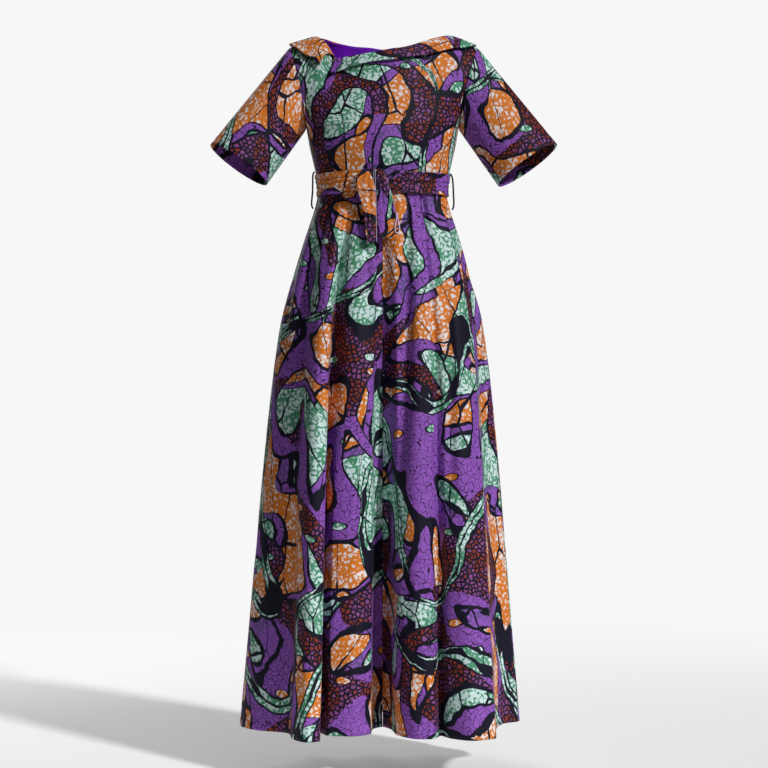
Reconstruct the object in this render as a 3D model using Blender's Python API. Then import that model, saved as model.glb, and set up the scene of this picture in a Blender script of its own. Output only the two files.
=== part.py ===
"""A short-sleeved maxi dress in printed cotton, filled out as it is worn.

The cloth is modelled as walls. Every panel starts as a grid of points on the outside of the
garment, worked out from the sections below, and is drawn in by its thickness. Panels that meet
share their points, so their walls are mitred and stay SEAM apart.
The frame is in metres: +X is the wearer's left, -Y the front, +Z up, and the origin lies midway
between the two shoulder points.
"""
import math

import bmesh
import bpy
import numpy as np

CLOTH = 0.0020
DOUBLE_CLOTH = 0.0022
FACING_CLOTH = 0.0012
SEAM = 0.0003
MITRE_LIMIT = 1.7

UNDERARM_Z = -0.168
WAIST_Z = -0.285
FOLDS_START_Z = -0.306
HEM_Z = -1.380

ARMHOLE_BOW = 0.052
NECK_SHARE = 0.72
NOTCH_SHARE = -0.504
OVER_SHOULDER_SHARES = (0.35, 0.72)
SHOULDER_SLANT = 1.6
RING_FULLNESS = 0.9
FOLD_GROWTH = 0.8

BODICE_LOW_ROWS = 4
BODICE_HIGH_ROWS = 10
SHOULDER_COLUMNS = 4
NECK_COLUMNS = 20
SLEEVE_ROWS = 6
FOLD_STEPS = 2

CUFF_AXIS = (0.565, -0.20, -0.807)
CUFF_HALF_DEPTH = 0.055

COLLAR_LIFT = 0.0040
COLLAR_EDGE_LIFT = 0.0050
COLLAR_EDGE_GAP = 0.0006
NECK_AXIS_Z = -0.060

FACING_HEIGHTS = (0.6, 0.99)
FACING_EDGE_SHARE = 0.003

SASH_GAP = 0.0012
SASH_TOP_Z = -0.262
SASH_BOTTOM_Z = -0.305
KNOT_CENTRE_X = -0.020
KNOT_HALF = (0.033, 0.0075, 0.0205)
KNOT_GAP = 0.0014
KNOT_RISE = 0.0005
KNOT_SQUARENESS = 0.75
LOOP_THREAD_RADIUS = 0.0010

# Sections of the body: height, half width, depth in front and depth behind the side seams.
SECTIONS = np.array([
    (-0.168, 0.1550, 0.118, 0.098),
    (-0.206, 0.1485, 0.117, 0.094),
    (-0.240, 0.1405, 0.108, 0.090),
    (-0.270, 0.1340, 0.100, 0.087),
    (-0.290, 0.1305, 0.097, 0.086),
    (-0.312, 0.1340, 0.099, 0.090),
    (-0.394, 0.1590, 0.117, 0.116),
    (-0.475, 0.1830, 0.134, 0.140),
    (-0.557, 0.2050, 0.148, 0.158),
    (-0.639, 0.2175, 0.157, 0.168),
    (-0.720, 0.2270, 0.164, 0.175),
    (-0.883, 0.2430, 0.172, 0.183),
    (-1.047, 0.2570, 0.179, 0.189),
    (-1.210, 0.2710, 0.185, 0.194),
    (-1.380, 0.2860, 0.190, 0.198),
])

# Upper edge in front: share of the half width, then x, y and z. The first and last
# stretches are the shoulder seams and the others the neckline, which is lower on the
# wearer's right, where the collar is notched.
FRONT_EDGE = np.array([
    (-1.00, -0.190, 0.000, -0.002),
    (-0.72, -0.137, 0.000, 0.016),
    (-0.61, -0.121, -0.026, 0.004),
    (-0.504, -0.096, -0.060, -0.037),
    (-0.24, -0.047, -0.081, -0.029),
    (0.00, 0.000, -0.088, -0.021),
    (0.20, 0.036, -0.084, -0.015),
    (0.36, 0.062, -0.072, -0.008),
    (0.50, 0.088, -0.054, 0.001),
    (0.62, 0.114, -0.029, 0.011),
    (0.72, 0.137, 0.000, 0.018),
    (1.00, 0.194, 0.000, -0.002),
])

# Upper edge behind, between the same shoulder seams.
BACK_EDGE = np.array([
    (-1.00, -0.190, 0.000, -0.002),
    (-0.72, -0.137, 0.000, 0.016),
    (-0.60, -0.121, 0.022, 0.015),
    (-0.48, -0.098, 0.045, 0.011),
    (-0.30, -0.062, 0.068, 0.006),
    (-0.12, -0.024, 0.080, 0.003),
    (0.00, 0.000, 0.083, -0.002),
    (0.12, 0.024, 0.080, 0.003),
    (0.30, 0.062, 0.068, 0.006),
    (0.48, 0.098, 0.045, 0.011),
    (0.60, 0.121, 0.022, 0.016),
    (0.72, 0.137, 0.000, 0.018),
    (1.00, 0.194, 0.000, -0.002),
])

# Cuffs, by the sign of their side: the centre, and half the flat width.
CUFFS = {
    -1: ((-0.2915, -0.030, -0.2423), 0.070),
    1: ((0.2940, -0.030, -0.2435), 0.073),
}

# Lines that run down the skirt: angle on the waist from the centre front, then the line's
# place on the hem. Folds are where the hem leaves the plain oval.
SKIRT_LINES = np.array([
    (-90.0, -0.290, -0.020),
    (-70.0, -0.256, -0.080),
    (-54.0, -0.190, -0.116),
    (-49.0, -0.177, -0.186),
    (-41.0, -0.150, -0.224),
    (-34.0, -0.123, -0.212),
    (-30.0, -0.112, -0.142),
    (-25.0, -0.090, -0.160),
    (-14.0, -0.055, -0.155),
    (-6.0, -0.024, -0.128),
    (-3.0, -0.018, -0.066),
    (0.0, 0.000, -0.044),
    (4.0, 0.016, -0.070),
    (10.0, 0.029, -0.142),
    (20.0, 0.066, -0.187),
    (30.0, 0.102, -0.184),
    (34.0, 0.115, -0.148),
    (38.0, 0.132, -0.178),
    (51.0, 0.174, -0.206),
    (65.0, 0.221, -0.180),
    (70.0, 0.227, -0.080),
    (80.0, 0.246, -0.004),
    (90.0, 0.281, 0.030),
    (103.0, 0.264, 0.096),
    (113.0, 0.216, 0.116),
    (122.0, 0.196, 0.176),
    (132.0, 0.154, 0.204),
    (140.0, 0.124, 0.168),
    (149.0, 0.098, 0.190),
    (160.0, 0.062, 0.216),
    (170.0, 0.026, 0.196),
    (180.0, 0.002, 0.150),
    (190.0, -0.024, 0.190),
    (201.0, -0.064, 0.214),
    (211.0, -0.100, 0.188),
    (220.0, -0.122, 0.150),
    (230.0, -0.154, 0.200),
    (241.0, -0.198, 0.178),
    (250.0, -0.222, 0.112),
    (259.0, -0.266, 0.070),
    (270.0, -0.290, -0.020),
])
FRONT_CENTRE_LINE = 11
RIGHT_SIDE_LINE = 0
LEFT_SIDE_LINE = 22
BACK_CENTRE_LINE = 31

SKIRT_HEIGHTS = (
    WAIST_Z, -0.295, FOLDS_START_Z, -0.328, -0.356, -0.392, -0.438, -0.496, -0.566, -0.648,
    -0.740, -0.840, -0.950, -1.064, -1.180, -1.285, HEM_Z,
)

# The collar's free edge: share of its fold, then share and height share of the free edge.
# Height shares run from the underarm (0) to the upper edge (1).
LAPEL_EDGE = np.array([
    (-0.720, -1.00, 1.00),
    (-0.660, -0.92, 0.91),
    (-0.600, -0.82, 0.80),
    (-0.550, -0.71, 0.735),
    (-0.504, -0.61, 0.69),
])
BAND_EDGE = np.array([
    (-0.504, -0.535, 0.755),
    (-0.360, -0.37, 0.82),
    (-0.120, -0.12, 0.865),
    (0.120, 0.12, 0.86),
    (0.360, 0.39, 0.85),
    (0.480, 0.55, 0.83),
    (0.600, 0.77, 0.85),
    (0.660, 0.90, 0.91),
    (0.720, 1.00, 1.00),
])
BACK_COLLAR_EDGE = np.array([
    (0.000, 0.008, 0.75),
    (0.240, 0.27, 0.76),
    (0.480, 0.60, 0.79),
    (0.600, 0.80, 0.84),
    (0.660, 0.92, 0.92),
    (0.720, 1.00, 1.00),
])
COLLAR_END_GAP = 0.004
SHOULDER_STATION = 0.684
COLLAR_STEPS = 6

# The sash's hanging ends: height, the end's two edges in x, and how far it stands off.
RIGHT_TAIL = (
    (-0.3039, -0.047, -0.0130, 0.0102),
    (-0.3200, -0.051, -0.0125, 0.0060),
    (-0.3450, -0.046, -0.0120, 0.0050),
    (-0.3700, -0.041, -0.0115, 0.0050),
    (-0.3900, -0.037, -0.0110, 0.0050),
    (-0.4040, -0.035, -0.0110, 0.0050),
)
LEFT_TAIL = (
    (-0.3039, -0.0118, 0.0120, 0.0104),
    (-0.3200, -0.011, 0.0170, 0.0092),
    (-0.3450, -0.010, 0.0240, 0.0085),
    (-0.3620, -0.009, 0.0290, 0.0085),
    (-0.3820, -0.008, 0.0320, 0.0085),
    (-0.3940, -0.007, 0.0260, 0.0085),
)
TAIL_COLUMNS = 4

# Thread loops at the side seams that hold the sash: distance from the middle, and height.
RIGHT_LOOP = (
    (0.1388, -0.2545), (0.1414, -0.2590), (0.1422, -0.2680), (0.1424, -0.2810),
    (0.1427, -0.2950), (0.1438, -0.3080), (0.1446, -0.3180), (0.1440, -0.3250),
    (0.1416, -0.3300),
)
LEFT_LOOP = (
    (0.1378, -0.2585), (0.1408, -0.2625), (0.1428, -0.2700), (0.1440, -0.2820),
    (0.1446, -0.2970), (0.1452, -0.3100), (0.1454, -0.3200), (0.1446, -0.3270),
    (0.1420, -0.3325),
)

PRINT = (0.27, 0.17, 0.32, 1.0)
VIOLET = (0.13, 0.0, 0.33, 1.0)
THREAD = (0.01, 0.01, 0.012, 1.0)


def smooth(table, key):
    """The table's other columns at a key, on a smooth curve through its rows."""
    keys, values = table[:, 0], table[:, 1:]
    slopes = np.gradient(values, keys, axis=0)
    way = np.sign(keys[-1] - keys[0])
    row = np.searchsorted(keys * way, key * way) - 1
    i = int(np.clip(row, 0, len(keys) - 2))
    span = keys[i + 1] - keys[i]
    t = (key - keys[i]) / span
    return (
        (2 * t**3 - 3 * t**2 + 1) * values[i]
        + (t**3 - 2 * t**2 + t) * span * slopes[i]
        + (3 * t**2 - 2 * t**3) * values[i + 1]
        + (t**3 - t**2) * span * slopes[i + 1]
    )


def ring_point(z, degrees, grow=0.0):
    """A point of the plain body at a height, by angle from the centre front towards +X."""
    width, front, back = smooth(SECTIONS, z) + grow
    turn = math.radians(degrees)
    across = math.cos(turn)
    depth = front if across > 0 else back
    y = -math.copysign(depth * abs(across) ** RING_FULLNESS, across)
    return np.array((width * math.sin(turn), y, z))


def upper_edge(side, share):
    """The shoulder seam and neckline at a share of the half width."""
    table = FRONT_EDGE if side == "front" else BACK_EDGE
    stretches = [(-1.0, -NECK_SHARE), (-NECK_SHARE, NOTCH_SHARE), (NOTCH_SHARE, NECK_SHARE),
                 (NECK_SHARE, 1.0)]
    for low, high in stretches:
        if low <= share <= high:
            rows = table[(table[:, 0] >= low - 1e-6) & (table[:, 0] <= high + 1e-6)]
            return smooth(rows, share)
    raise ValueError(share)


def chest_point(side, share, height):
    """A point of the bodice above the underarm, whose columns end on the upper edge.

    The columns under the neckline are nearly straight. Those under the shoulder seam curve
    back over the shoulder, and the last one, the armhole, bows out to a half oval.
    """
    sign = -1 if side == "front" else 1
    base = ring_point(UNDERARM_Z, share * 90 if side == "front" else 180 - share * 90)
    top = upper_edge(side, share)
    begins, ends = OVER_SHOULDER_SHARES
    shoulder = float(np.clip((abs(share) - begins) / (ends - begins), 0, 1))
    shoulder = shoulder * shoulder * (3 - 2 * shoulder)
    over = 1 - math.sqrt(max(0.0, 1 - height**2))
    rise = np.array((
        (1 - shoulder) * height + shoulder * height**SHOULDER_SLANT,
        (1 - shoulder) * height + shoulder * over,
        height,
    ))
    bow = sign * ARMHOLE_BOW * abs(share) ** 3 * 2 * math.sqrt(height * (1 - height))
    return base + (top - base) * rise + np.array((0, bow, 0))


def chest_normal(side, share, height):
    """The outward normal of the bodice at a point."""
    step = 0.004
    share = float(np.clip(share, -1 + step, 1 - step))
    height = float(np.clip(height, step, 1 - step))
    across = chest_point(side, share + step, height) - chest_point(side, share - step, height)
    up = chest_point(side, share, height + step) - chest_point(side, share, height - step)
    normal = np.cross(across, up) if side == "front" else np.cross(up, across)
    return normal / np.linalg.norm(normal)


def bodice_shares():
    """Column places across a bodice panel, with a column at each end of the neckline."""
    shoulder = np.linspace(-1, -NECK_SHARE, SHOULDER_COLUMNS + 1)
    neck = np.linspace(-NECK_SHARE, NECK_SHARE, NECK_COLUMNS + 1)
    return np.concatenate([shoulder[:-1], neck, -shoulder[::-1][1:]])


def high_rows():
    """Height shares above the underarm, closer together at both ends."""
    return [(1 - math.cos(math.pi * i / BODICE_HIGH_ROWS)) / 2
            for i in range(BODICE_HIGH_ROWS + 1)]


def bodice_grid(side, shares):
    """Rows from the waist up of a bodice panel's outside."""
    turn = [share * 90 if side == "front" else 180 - share * 90 for share in shares]
    lows = np.linspace(WAIST_Z, UNDERARM_Z, BODICE_LOW_ROWS + 1)[:-1]
    rows = [[ring_point(z, degrees) for degrees in turn] for z in lows]
    rows += [[chest_point(side, share, height) for share in shares] for height in high_rows()]
    return np.array(rows)


def armhole_ring(sign):
    """The armhole from the underarm up the front and down the back, as a closed ring."""
    heights = high_rows()
    front = [chest_point("front", float(sign), height) for height in heights]
    back = [chest_point("back", float(sign), height) for height in heights[::-1]]
    return np.array(front + back[1:])


def cuff_ring(sign, count):
    """The cuff's oval, from its lowest point round the front."""
    centre, half_width = CUFFS[sign]
    axis = np.array(CUFF_AXIS) / np.linalg.norm(CUFF_AXIS) * np.array((sign, 1, 1))
    forward = np.array((0.0, -1.0, 0.0))
    forward -= axis * forward.dot(axis)
    forward /= np.linalg.norm(forward)
    low = np.cross(axis, forward) * sign
    low /= np.linalg.norm(low)
    turns = np.linspace(0, 2 * math.pi, count)
    return np.array([
        centre + low * half_width * math.cos(turn)
        + forward * CUFF_HALF_DEPTH * math.sin(turn)
        for turn in turns
    ])


def sleeve_grid(sign):
    """Rings from the armhole to the cuff; the last column repeats the first."""
    armhole = armhole_ring(sign)
    cuff = cuff_ring(sign, len(armhole))
    steps = np.linspace(0, 1, SLEEVE_ROWS + 1)
    return np.array([armhole * (1 - step) + cuff * step for step in steps])


def skirt_controls(z):
    """The skirt's lines cut at a height."""
    fall = max(0.0, (FOLDS_START_Z - z) / (FOLDS_START_Z - HEM_Z))
    controls = []
    for degrees, hem_x, hem_y in SKIRT_LINES:
        plain_hem = ring_point(HEM_Z, degrees)
        leaves = np.array((hem_x - plain_hem[0], hem_y - plain_hem[1], 0))
        controls.append(ring_point(z, degrees) + leaves * fall**FOLD_GROWTH)
    return np.array(controls[:-1])


def skirt_row(z, first, last):
    """A smooth curve through the skirt's lines at a height, from one line to another."""
    points = skirt_controls(z)
    count = len(points)
    ahead = np.roll(points, -1, axis=0) - points
    knots = np.sqrt(np.linalg.norm(ahead, axis=1))[:, None]
    before = np.roll(knots, 1, axis=0)
    speed = (ahead / knots * before + np.roll(ahead / knots, 1, axis=0) * knots) / (before + knots)
    row = []
    for line in range(first, last):
        i, j = line % count, (line + 1) % count
        for step in range(FOLD_STEPS):
            t = step / FOLD_STEPS
            row.append(
                (2 * t**3 - 3 * t**2 + 1) * points[i]
                + (t**3 - 2 * t**2 + t) * knots[i] * speed[i]
                + (3 * t**2 - 2 * t**3) * points[j]
                + (t**3 - t**2) * knots[i] * speed[j]
            )
    row.append(points[last % count])
    return row


def skirt_grid(first, last):
    """Rows from the waist down of a skirt panel's outside."""
    return np.array([skirt_row(z, first, last) for z in SKIRT_HEIGHTS])


def grid_normals(points, wrap):
    """Outward normals of a grid of points round the garment or a sleeve."""
    if wrap:
        ring = points[:, :-1]
        across = np.roll(ring, -1, axis=1) - np.roll(ring, 1, axis=1)
        across = np.concatenate([across, across[:, :1]], axis=1)
    else:
        across = np.gradient(points, axis=1)
    down = np.gradient(points, axis=0)
    normals = np.cross(across, down)
    normals /= np.linalg.norm(normals, axis=2, keepdims=True)
    middle = points.mean(axis=(0, 1))
    if not wrap:
        middle[1] = 0
    if (normals * (points - middle)).sum() < 0:
        normals = -normals
    return normals


def place_key(point):
    return tuple(int(round(value * 1e6)) for value in point)


def mitres(panels, thick):
    """For each place on the panels, the vector from the outside to the inside of the wall.

    Where panels meet, the vector draws every one of them in by the same thickness.
    """
    met = {}
    for points, normals in panels:
        for point, normal in zip(points.reshape(-1, 3), normals.reshape(-1, 3)):
            met.setdefault(place_key(point), []).append(normal)
    inward = {}
    for place, normals in met.items():
        drawn = np.linalg.lstsq(np.array(normals), np.full(len(normals), -thick), rcond=0.15)[0]
        length = np.linalg.norm(drawn)
        inward[place] = drawn * min(1.0, MITRE_LIMIT * thick / length)
    return inward


def edge_run(edge, closed):
    """The direction of an edge at each of its points."""
    if not closed:
        return np.gradient(edge, axis=0)
    ring = edge[:-1]
    run = np.roll(ring, -1, axis=0) - np.roll(ring, 1, axis=0)
    return np.concatenate([run, run[:1]])


def edge_shift(points, inward, wrap):
    """Moves a panel's edges in by half the seam gap, across the mitre."""
    shift = np.zeros_like(points)
    rows, columns = points.shape[:2]

    def draw_in(edge, inner, vectors, target, closed):
        into = np.cross(edge_run(edge, closed), vectors)
        into /= np.linalg.norm(into, axis=1, keepdims=True)
        facing = np.sign((into * (inner - edge)).sum(axis=1, keepdims=True))
        target += into * facing * SEAM / 2

    for edge, inner in ((0, 1), (rows - 1, rows - 2)):
        draw_in(points[edge], points[inner], inward[edge], shift[edge], wrap)
    if not wrap:
        for edge, inner in ((0, 1), (columns - 1, columns - 2)):
            draw_in(points[:, edge], points[:, inner], inward[:, edge], shift[:, edge], False)
    return shift


def wall(name, outside, inward, colour, wrap=False):
    """A closed wall between a grid of outside points and the same points moved inward."""
    rows, columns = outside.shape[:2]
    bm = bmesh.new()
    bmesh.ops.create_grid(bm, x_segments=columns - 1, y_segments=rows - 1, size=1)
    drawn = bm.verts.layers.float_vector.new("drawn")
    for vert, point, vector in zip(bm.verts, outside.reshape(-1, 3), inward.reshape(-1, 3)):
        vert.co = point
        vert[drawn] = vector
    if wrap:
        bmesh.ops.remove_doubles(bm, verts=bm.verts, dist=1e-6)
    bmesh.ops.triangulate(bm, faces=bm.faces, quad_method="SHORT_EDGE")
    skin = bmesh.ops.extrude_face_region(
        bm, geom=bm.faces[:] + bm.edges[:] + bm.verts[:], use_keep_orig=True)
    for item in skin["geom"]:
        if isinstance(item, bmesh.types.BMVert):
            item.co = [a + b for a, b in zip(item.co, item[drawn])]
    bmesh.ops.recalc_face_normals(bm, faces=bm.faces)
    mesh = bpy.data.meshes.new(name)
    bm.verts.layers.float_vector.remove(drawn)
    bm.to_mesh(mesh)
    bm.free()
    mesh.shade_smooth()
    mesh.set_sharp_from_angle(angle=math.radians(50))
    return add_part(name, mesh, colour)


def add_part(name, data, colour, rough=0.75):
    """An object in the dress's collection with its own material."""
    material = bpy.data.materials.new(name)
    material.use_nodes = True
    shader = material.node_tree.nodes["Principled BSDF"]
    shader.inputs["Base Color"].default_value = colour
    shader.inputs["Roughness"].default_value = rough
    shader.inputs["Metallic"].default_value = 0.0
    material.diffuse_color = colour
    data.materials.append(material)
    part = bpy.data.objects.new(name, data)
    bpy.data.collections["dress"].objects.link(part)
    return part


def sewn_panels():
    """The bodice, sleeves and skirt, whose edges meet along seams.

    The first row of a bodice or skirt panel is its waist, where the wall's edge lies level.
    """
    shares = bodice_shares()
    middle = len(shares) // 2
    back = bodice_grid("back", shares)
    grids = {
        "bodice_front": (bodice_grid("front", shares), False),
        "bodice_back_right": (back[:, :middle + 1], False),
        "bodice_back_left": (back[:, middle:], False),
        "sleeve_right": (sleeve_grid(-1), True),
        "sleeve_left": (sleeve_grid(1), True),
        "skirt_front_right": (skirt_grid(RIGHT_SIDE_LINE, FRONT_CENTRE_LINE), False),
        "skirt_front_left": (skirt_grid(FRONT_CENTRE_LINE, LEFT_SIDE_LINE), False),
        "skirt_back_left": (skirt_grid(LEFT_SIDE_LINE, BACK_CENTRE_LINE), False),
        "skirt_back_right": (skirt_grid(BACK_CENTRE_LINE, len(SKIRT_LINES) - 1), False),
    }
    normals = {name: grid_normals(points, wrap) for name, (points, wrap) in grids.items()}
    inward = mitres([(grids[name][0], normals[name]) for name in grids], CLOTH)
    for name, (points, wrap) in grids.items():
        vectors = np.array([[inward[place_key(point)] for point in row] for row in points])
        if not wrap:
            vectors[0, :, 2] = 0
        moved = points + edge_shift(points, vectors, wrap)
        wall(name, moved, vectors, PRINT, wrap)


def neck_frame(side, fold):
    """The fold line's place, the outward normal there, and the way into the neck opening."""
    top = upper_edge(side, fold)
    step = 0.02
    if abs(abs(fold) - NECK_SHARE) < 1e-6:
        inner = math.copysign(NECK_SHARE - step, fold)
        along = upper_edge("front", inner) - upper_edge("back", inner)
        normal = chest_normal("front", fold, 1.0) + chest_normal("back", fold, 1.0)
    else:
        along = upper_edge(side, fold + step) - upper_edge(side, fold - step)
        normal = chest_normal(side, fold, 1.0)
    normal /= np.linalg.norm(normal)
    into = np.cross(along, normal)
    into *= np.sign(into.dot(np.array((0, 0, top[2] - NECK_AXIS_Z)) - top)) / np.linalg.norm(into)
    return top, normal, into


def collar_stations(table, sign):
    """Places along a collar at the bodice's columns, from its front end to the centre back."""
    columns = [share for share in bodice_shares() if abs(share) <= NECK_SHARE + 1e-6]
    columns = sorted(columns + [-SHOULDER_STATION, SHOULDER_STATION])
    low, high = sorted((table[0, 0], table[-1, 0]))
    front = [share for share in columns if low - 1e-6 <= share <= high + 1e-6]
    if sign < 0:
        front = front[::-1]
    front[0] += COLLAR_END_GAP * sign
    stations = [("front", share, *smooth(table, share)) for share in front]
    for share in [share for share in columns[::-1] if -1e-6 < share < NECK_SHARE - 1e-6]:
        share = max(share, COLLAR_END_GAP)
        edge, drop = smooth(BACK_COLLAR_EDGE, share)
        stations.append(("back", share * sign, edge * sign, drop))
    return stations


def collar(name, table, sign):
    """A fold-over collar: it hooks over the upper edge and lies on the bodice outside."""
    outside, inside = [], []
    for side, fold, edge, drop in collar_stations(table, sign):
        top, normal, into = neck_frame(side, fold)
        back = top - normal * CLOTH / 2
        above = top + into * COLLAR_EDGE_GAP
        outside_row = [
            back + into * (COLLAR_EDGE_GAP + DOUBLE_CLOTH),
            above + normal * COLLAR_LIFT + into * DOUBLE_CLOTH,
        ]
        inside_row = [back + into * COLLAR_EDGE_GAP, above + normal * COLLAR_EDGE_GAP]
        for step in range(1, COLLAR_STEPS + 1):
            t = step / COLLAR_STEPS
            share = fold + (edge - fold) * t
            height = 1 + (drop - 1) * t**2
            point = chest_point(side, share, height)
            out = chest_normal(side, share, height)
            lift = COLLAR_LIFT + (COLLAR_EDGE_LIFT - COLLAR_LIFT) * t**2
            outside_row.append(point + out * (lift + DOUBLE_CLOTH))
            inside_row.append(point + out * lift)
        outside.append(outside_row)
        inside.append(inside_row)
    outside, inside = np.array(outside), np.array(inside)
    wall(name, outside, inside - outside, PRINT)


def facing(name, shares):
    """The plain violet facing inside the back neckline."""
    low, high = FACING_HEIGHTS
    heights = [height for height in high_rows() if low < height < high]
    gap = CLOTH + SEAM
    points = np.array([[chest_point("back", share, h) for share in shares] for h in heights])
    normals = np.array([[chest_normal("back", share, h) for share in shares] for h in heights])
    outside = points - normals * gap
    wall(name, outside, -normals * FACING_CLOTH, VIOLET)


def sash_band():
    """The sash round the waist, over the seam between bodice and skirt."""
    heights = (SASH_BOTTOM_Z, -0.295, WAIST_Z, -0.274, SASH_TOP_Z)
    turns = np.linspace(-180, 180, 65)
    outside, inside = [], []
    for z in heights:
        outside.append([ring_point(z, turn, SASH_GAP + DOUBLE_CLOTH) for turn in turns])
        inside.append([ring_point(z, turn, SASH_GAP) for turn in turns])
    outside, inside = np.array(outside), np.array(inside)
    wall("sash_band", outside, inside - outside, PRINT, wrap=True)


def sash_knot():
    """The flat knot in front of the band."""
    front = smooth(SECTIONS, (SASH_TOP_Z + SASH_BOTTOM_Z) / 2)[1]
    reach = front + SASH_GAP + DOUBLE_CLOTH + KNOT_GAP + KNOT_HALF[1]
    middle = (SASH_TOP_Z + SASH_BOTTOM_Z) / 2 + KNOT_RISE
    bm = bmesh.new()
    bmesh.ops.create_uvsphere(bm, u_segments=16, v_segments=10, radius=1)
    for vert in bm.verts:
        rounded = [math.copysign(abs(value) ** KNOT_SQUARENESS, value) for value in vert.co]
        vert.co = [value * half for value, half in zip(rounded, KNOT_HALF)]
    bmesh.ops.translate(bm, verts=bm.verts, vec=(KNOT_CENTRE_X, -reach, middle))
    mesh = bpy.data.meshes.new("sash_knot")
    bm.to_mesh(mesh)
    bm.free()
    mesh.shade_smooth()
    add_part("sash_knot", mesh, PRINT)


def sash_tail(name, table):
    """A hanging end of the sash, in front of the skirt."""
    outside, inside = [], []
    for z, left, right, stand_off in table:
        front = smooth(SECTIONS, z)[1] + stand_off
        xs = np.linspace(left, right, TAIL_COLUMNS + 1)
        outside.append([(x, -front - DOUBLE_CLOTH, z) for x in xs])
        inside.append([(x, -front, z) for x in xs])
    outside, inside = np.array(outside), np.array(inside)
    wall(name, outside, inside - outside, PRINT)


def thread_loop(name, sign, route):
    """A loop of twisted thread at a side seam, standing off the sash."""
    curve = bpy.data.curves.new(name, "CURVE")
    curve.dimensions = "3D"
    curve.bevel_depth = LOOP_THREAD_RADIUS
    curve.bevel_resolution = 1
    curve.use_fill_caps = True
    spline = curve.splines.new("POLY")
    spline.points.add(len(route) - 1)
    for point, (reach, z) in zip(spline.points, route):
        point.co = (sign * reach, 0, z, 1)
    add_part(name, curve, THREAD, 0.8)


def build_dress():
    for old in list(bpy.data.objects):
        bpy.data.objects.remove(old, do_unlink=True)
    dress = bpy.data.collections.new("dress")
    bpy.context.scene.collection.children.link(dress)
    sewn_panels()
    collar("collar_right", LAPEL_EDGE, -1)
    collar("collar_left", BAND_EDGE, 1)
    neck = [share for share in bodice_shares() if abs(share) < NECK_SHARE - 1e-6]
    facing("facing_right", [share for share in neck if share < -1e-6] + [-FACING_EDGE_SHARE])
    facing("facing_left", [FACING_EDGE_SHARE] + [share for share in neck if share > 1e-6])
    sash_band()
    sash_knot()
    sash_tail("sash_tail_right", RIGHT_TAIL)
    sash_tail("sash_tail_left", LEFT_TAIL)
    thread_loop("thread_loop_right", -1, RIGHT_LOOP)
    thread_loop("thread_loop_left", 1, LEFT_LOOP)


build_dress()
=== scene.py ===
import math

import bmesh
import bpy
import numpy as np
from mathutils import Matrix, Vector


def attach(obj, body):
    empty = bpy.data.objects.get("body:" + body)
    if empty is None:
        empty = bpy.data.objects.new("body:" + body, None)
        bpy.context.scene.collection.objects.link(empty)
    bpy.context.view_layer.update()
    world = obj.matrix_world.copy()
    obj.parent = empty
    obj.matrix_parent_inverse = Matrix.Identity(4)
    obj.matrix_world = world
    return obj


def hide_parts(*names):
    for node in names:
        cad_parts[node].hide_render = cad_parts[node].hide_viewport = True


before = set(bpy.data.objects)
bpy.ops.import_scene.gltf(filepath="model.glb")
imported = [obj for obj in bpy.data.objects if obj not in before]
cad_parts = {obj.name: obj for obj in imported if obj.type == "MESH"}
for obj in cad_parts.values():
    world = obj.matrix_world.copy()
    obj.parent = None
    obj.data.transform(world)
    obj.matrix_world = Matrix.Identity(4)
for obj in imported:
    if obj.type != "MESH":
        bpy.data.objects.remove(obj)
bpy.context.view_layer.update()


# how the cloth is shaped: the same sizes as the solids, in metres unless a table is in millimetres

def metres(rows, *plain):
    # a table written in millimetres; plain are the columns that aren't lengths
    table = np.array(rows, float)
    table[:, [k for k in range(table.shape[1]) if k not in plain]] /= 1000
    return table


def unit(ways):
    return ways / np.linalg.norm(ways, axis=-1, keepdims=True)


def bell(value, width):
    return np.exp(-(value / width) ** 2)


def distances(places, axis=0):
    # how far along its row or column each place lies
    far = np.cumsum(np.linalg.norm(np.diff(places, axis=axis), axis=-1), axis=axis)
    return np.concatenate([0 * far.take([0], axis), far], axis=axis)


def cubic(t, start, end, startSlope, endSlope):
    return ((2 * t**3 - 3 * t**2 + 1) * start + (t**3 - 2 * t**2 + t) * startSlope
            + (3 * t**2 - 2 * t**3) * end + (t**3 - t**2) * endSlope)


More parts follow.
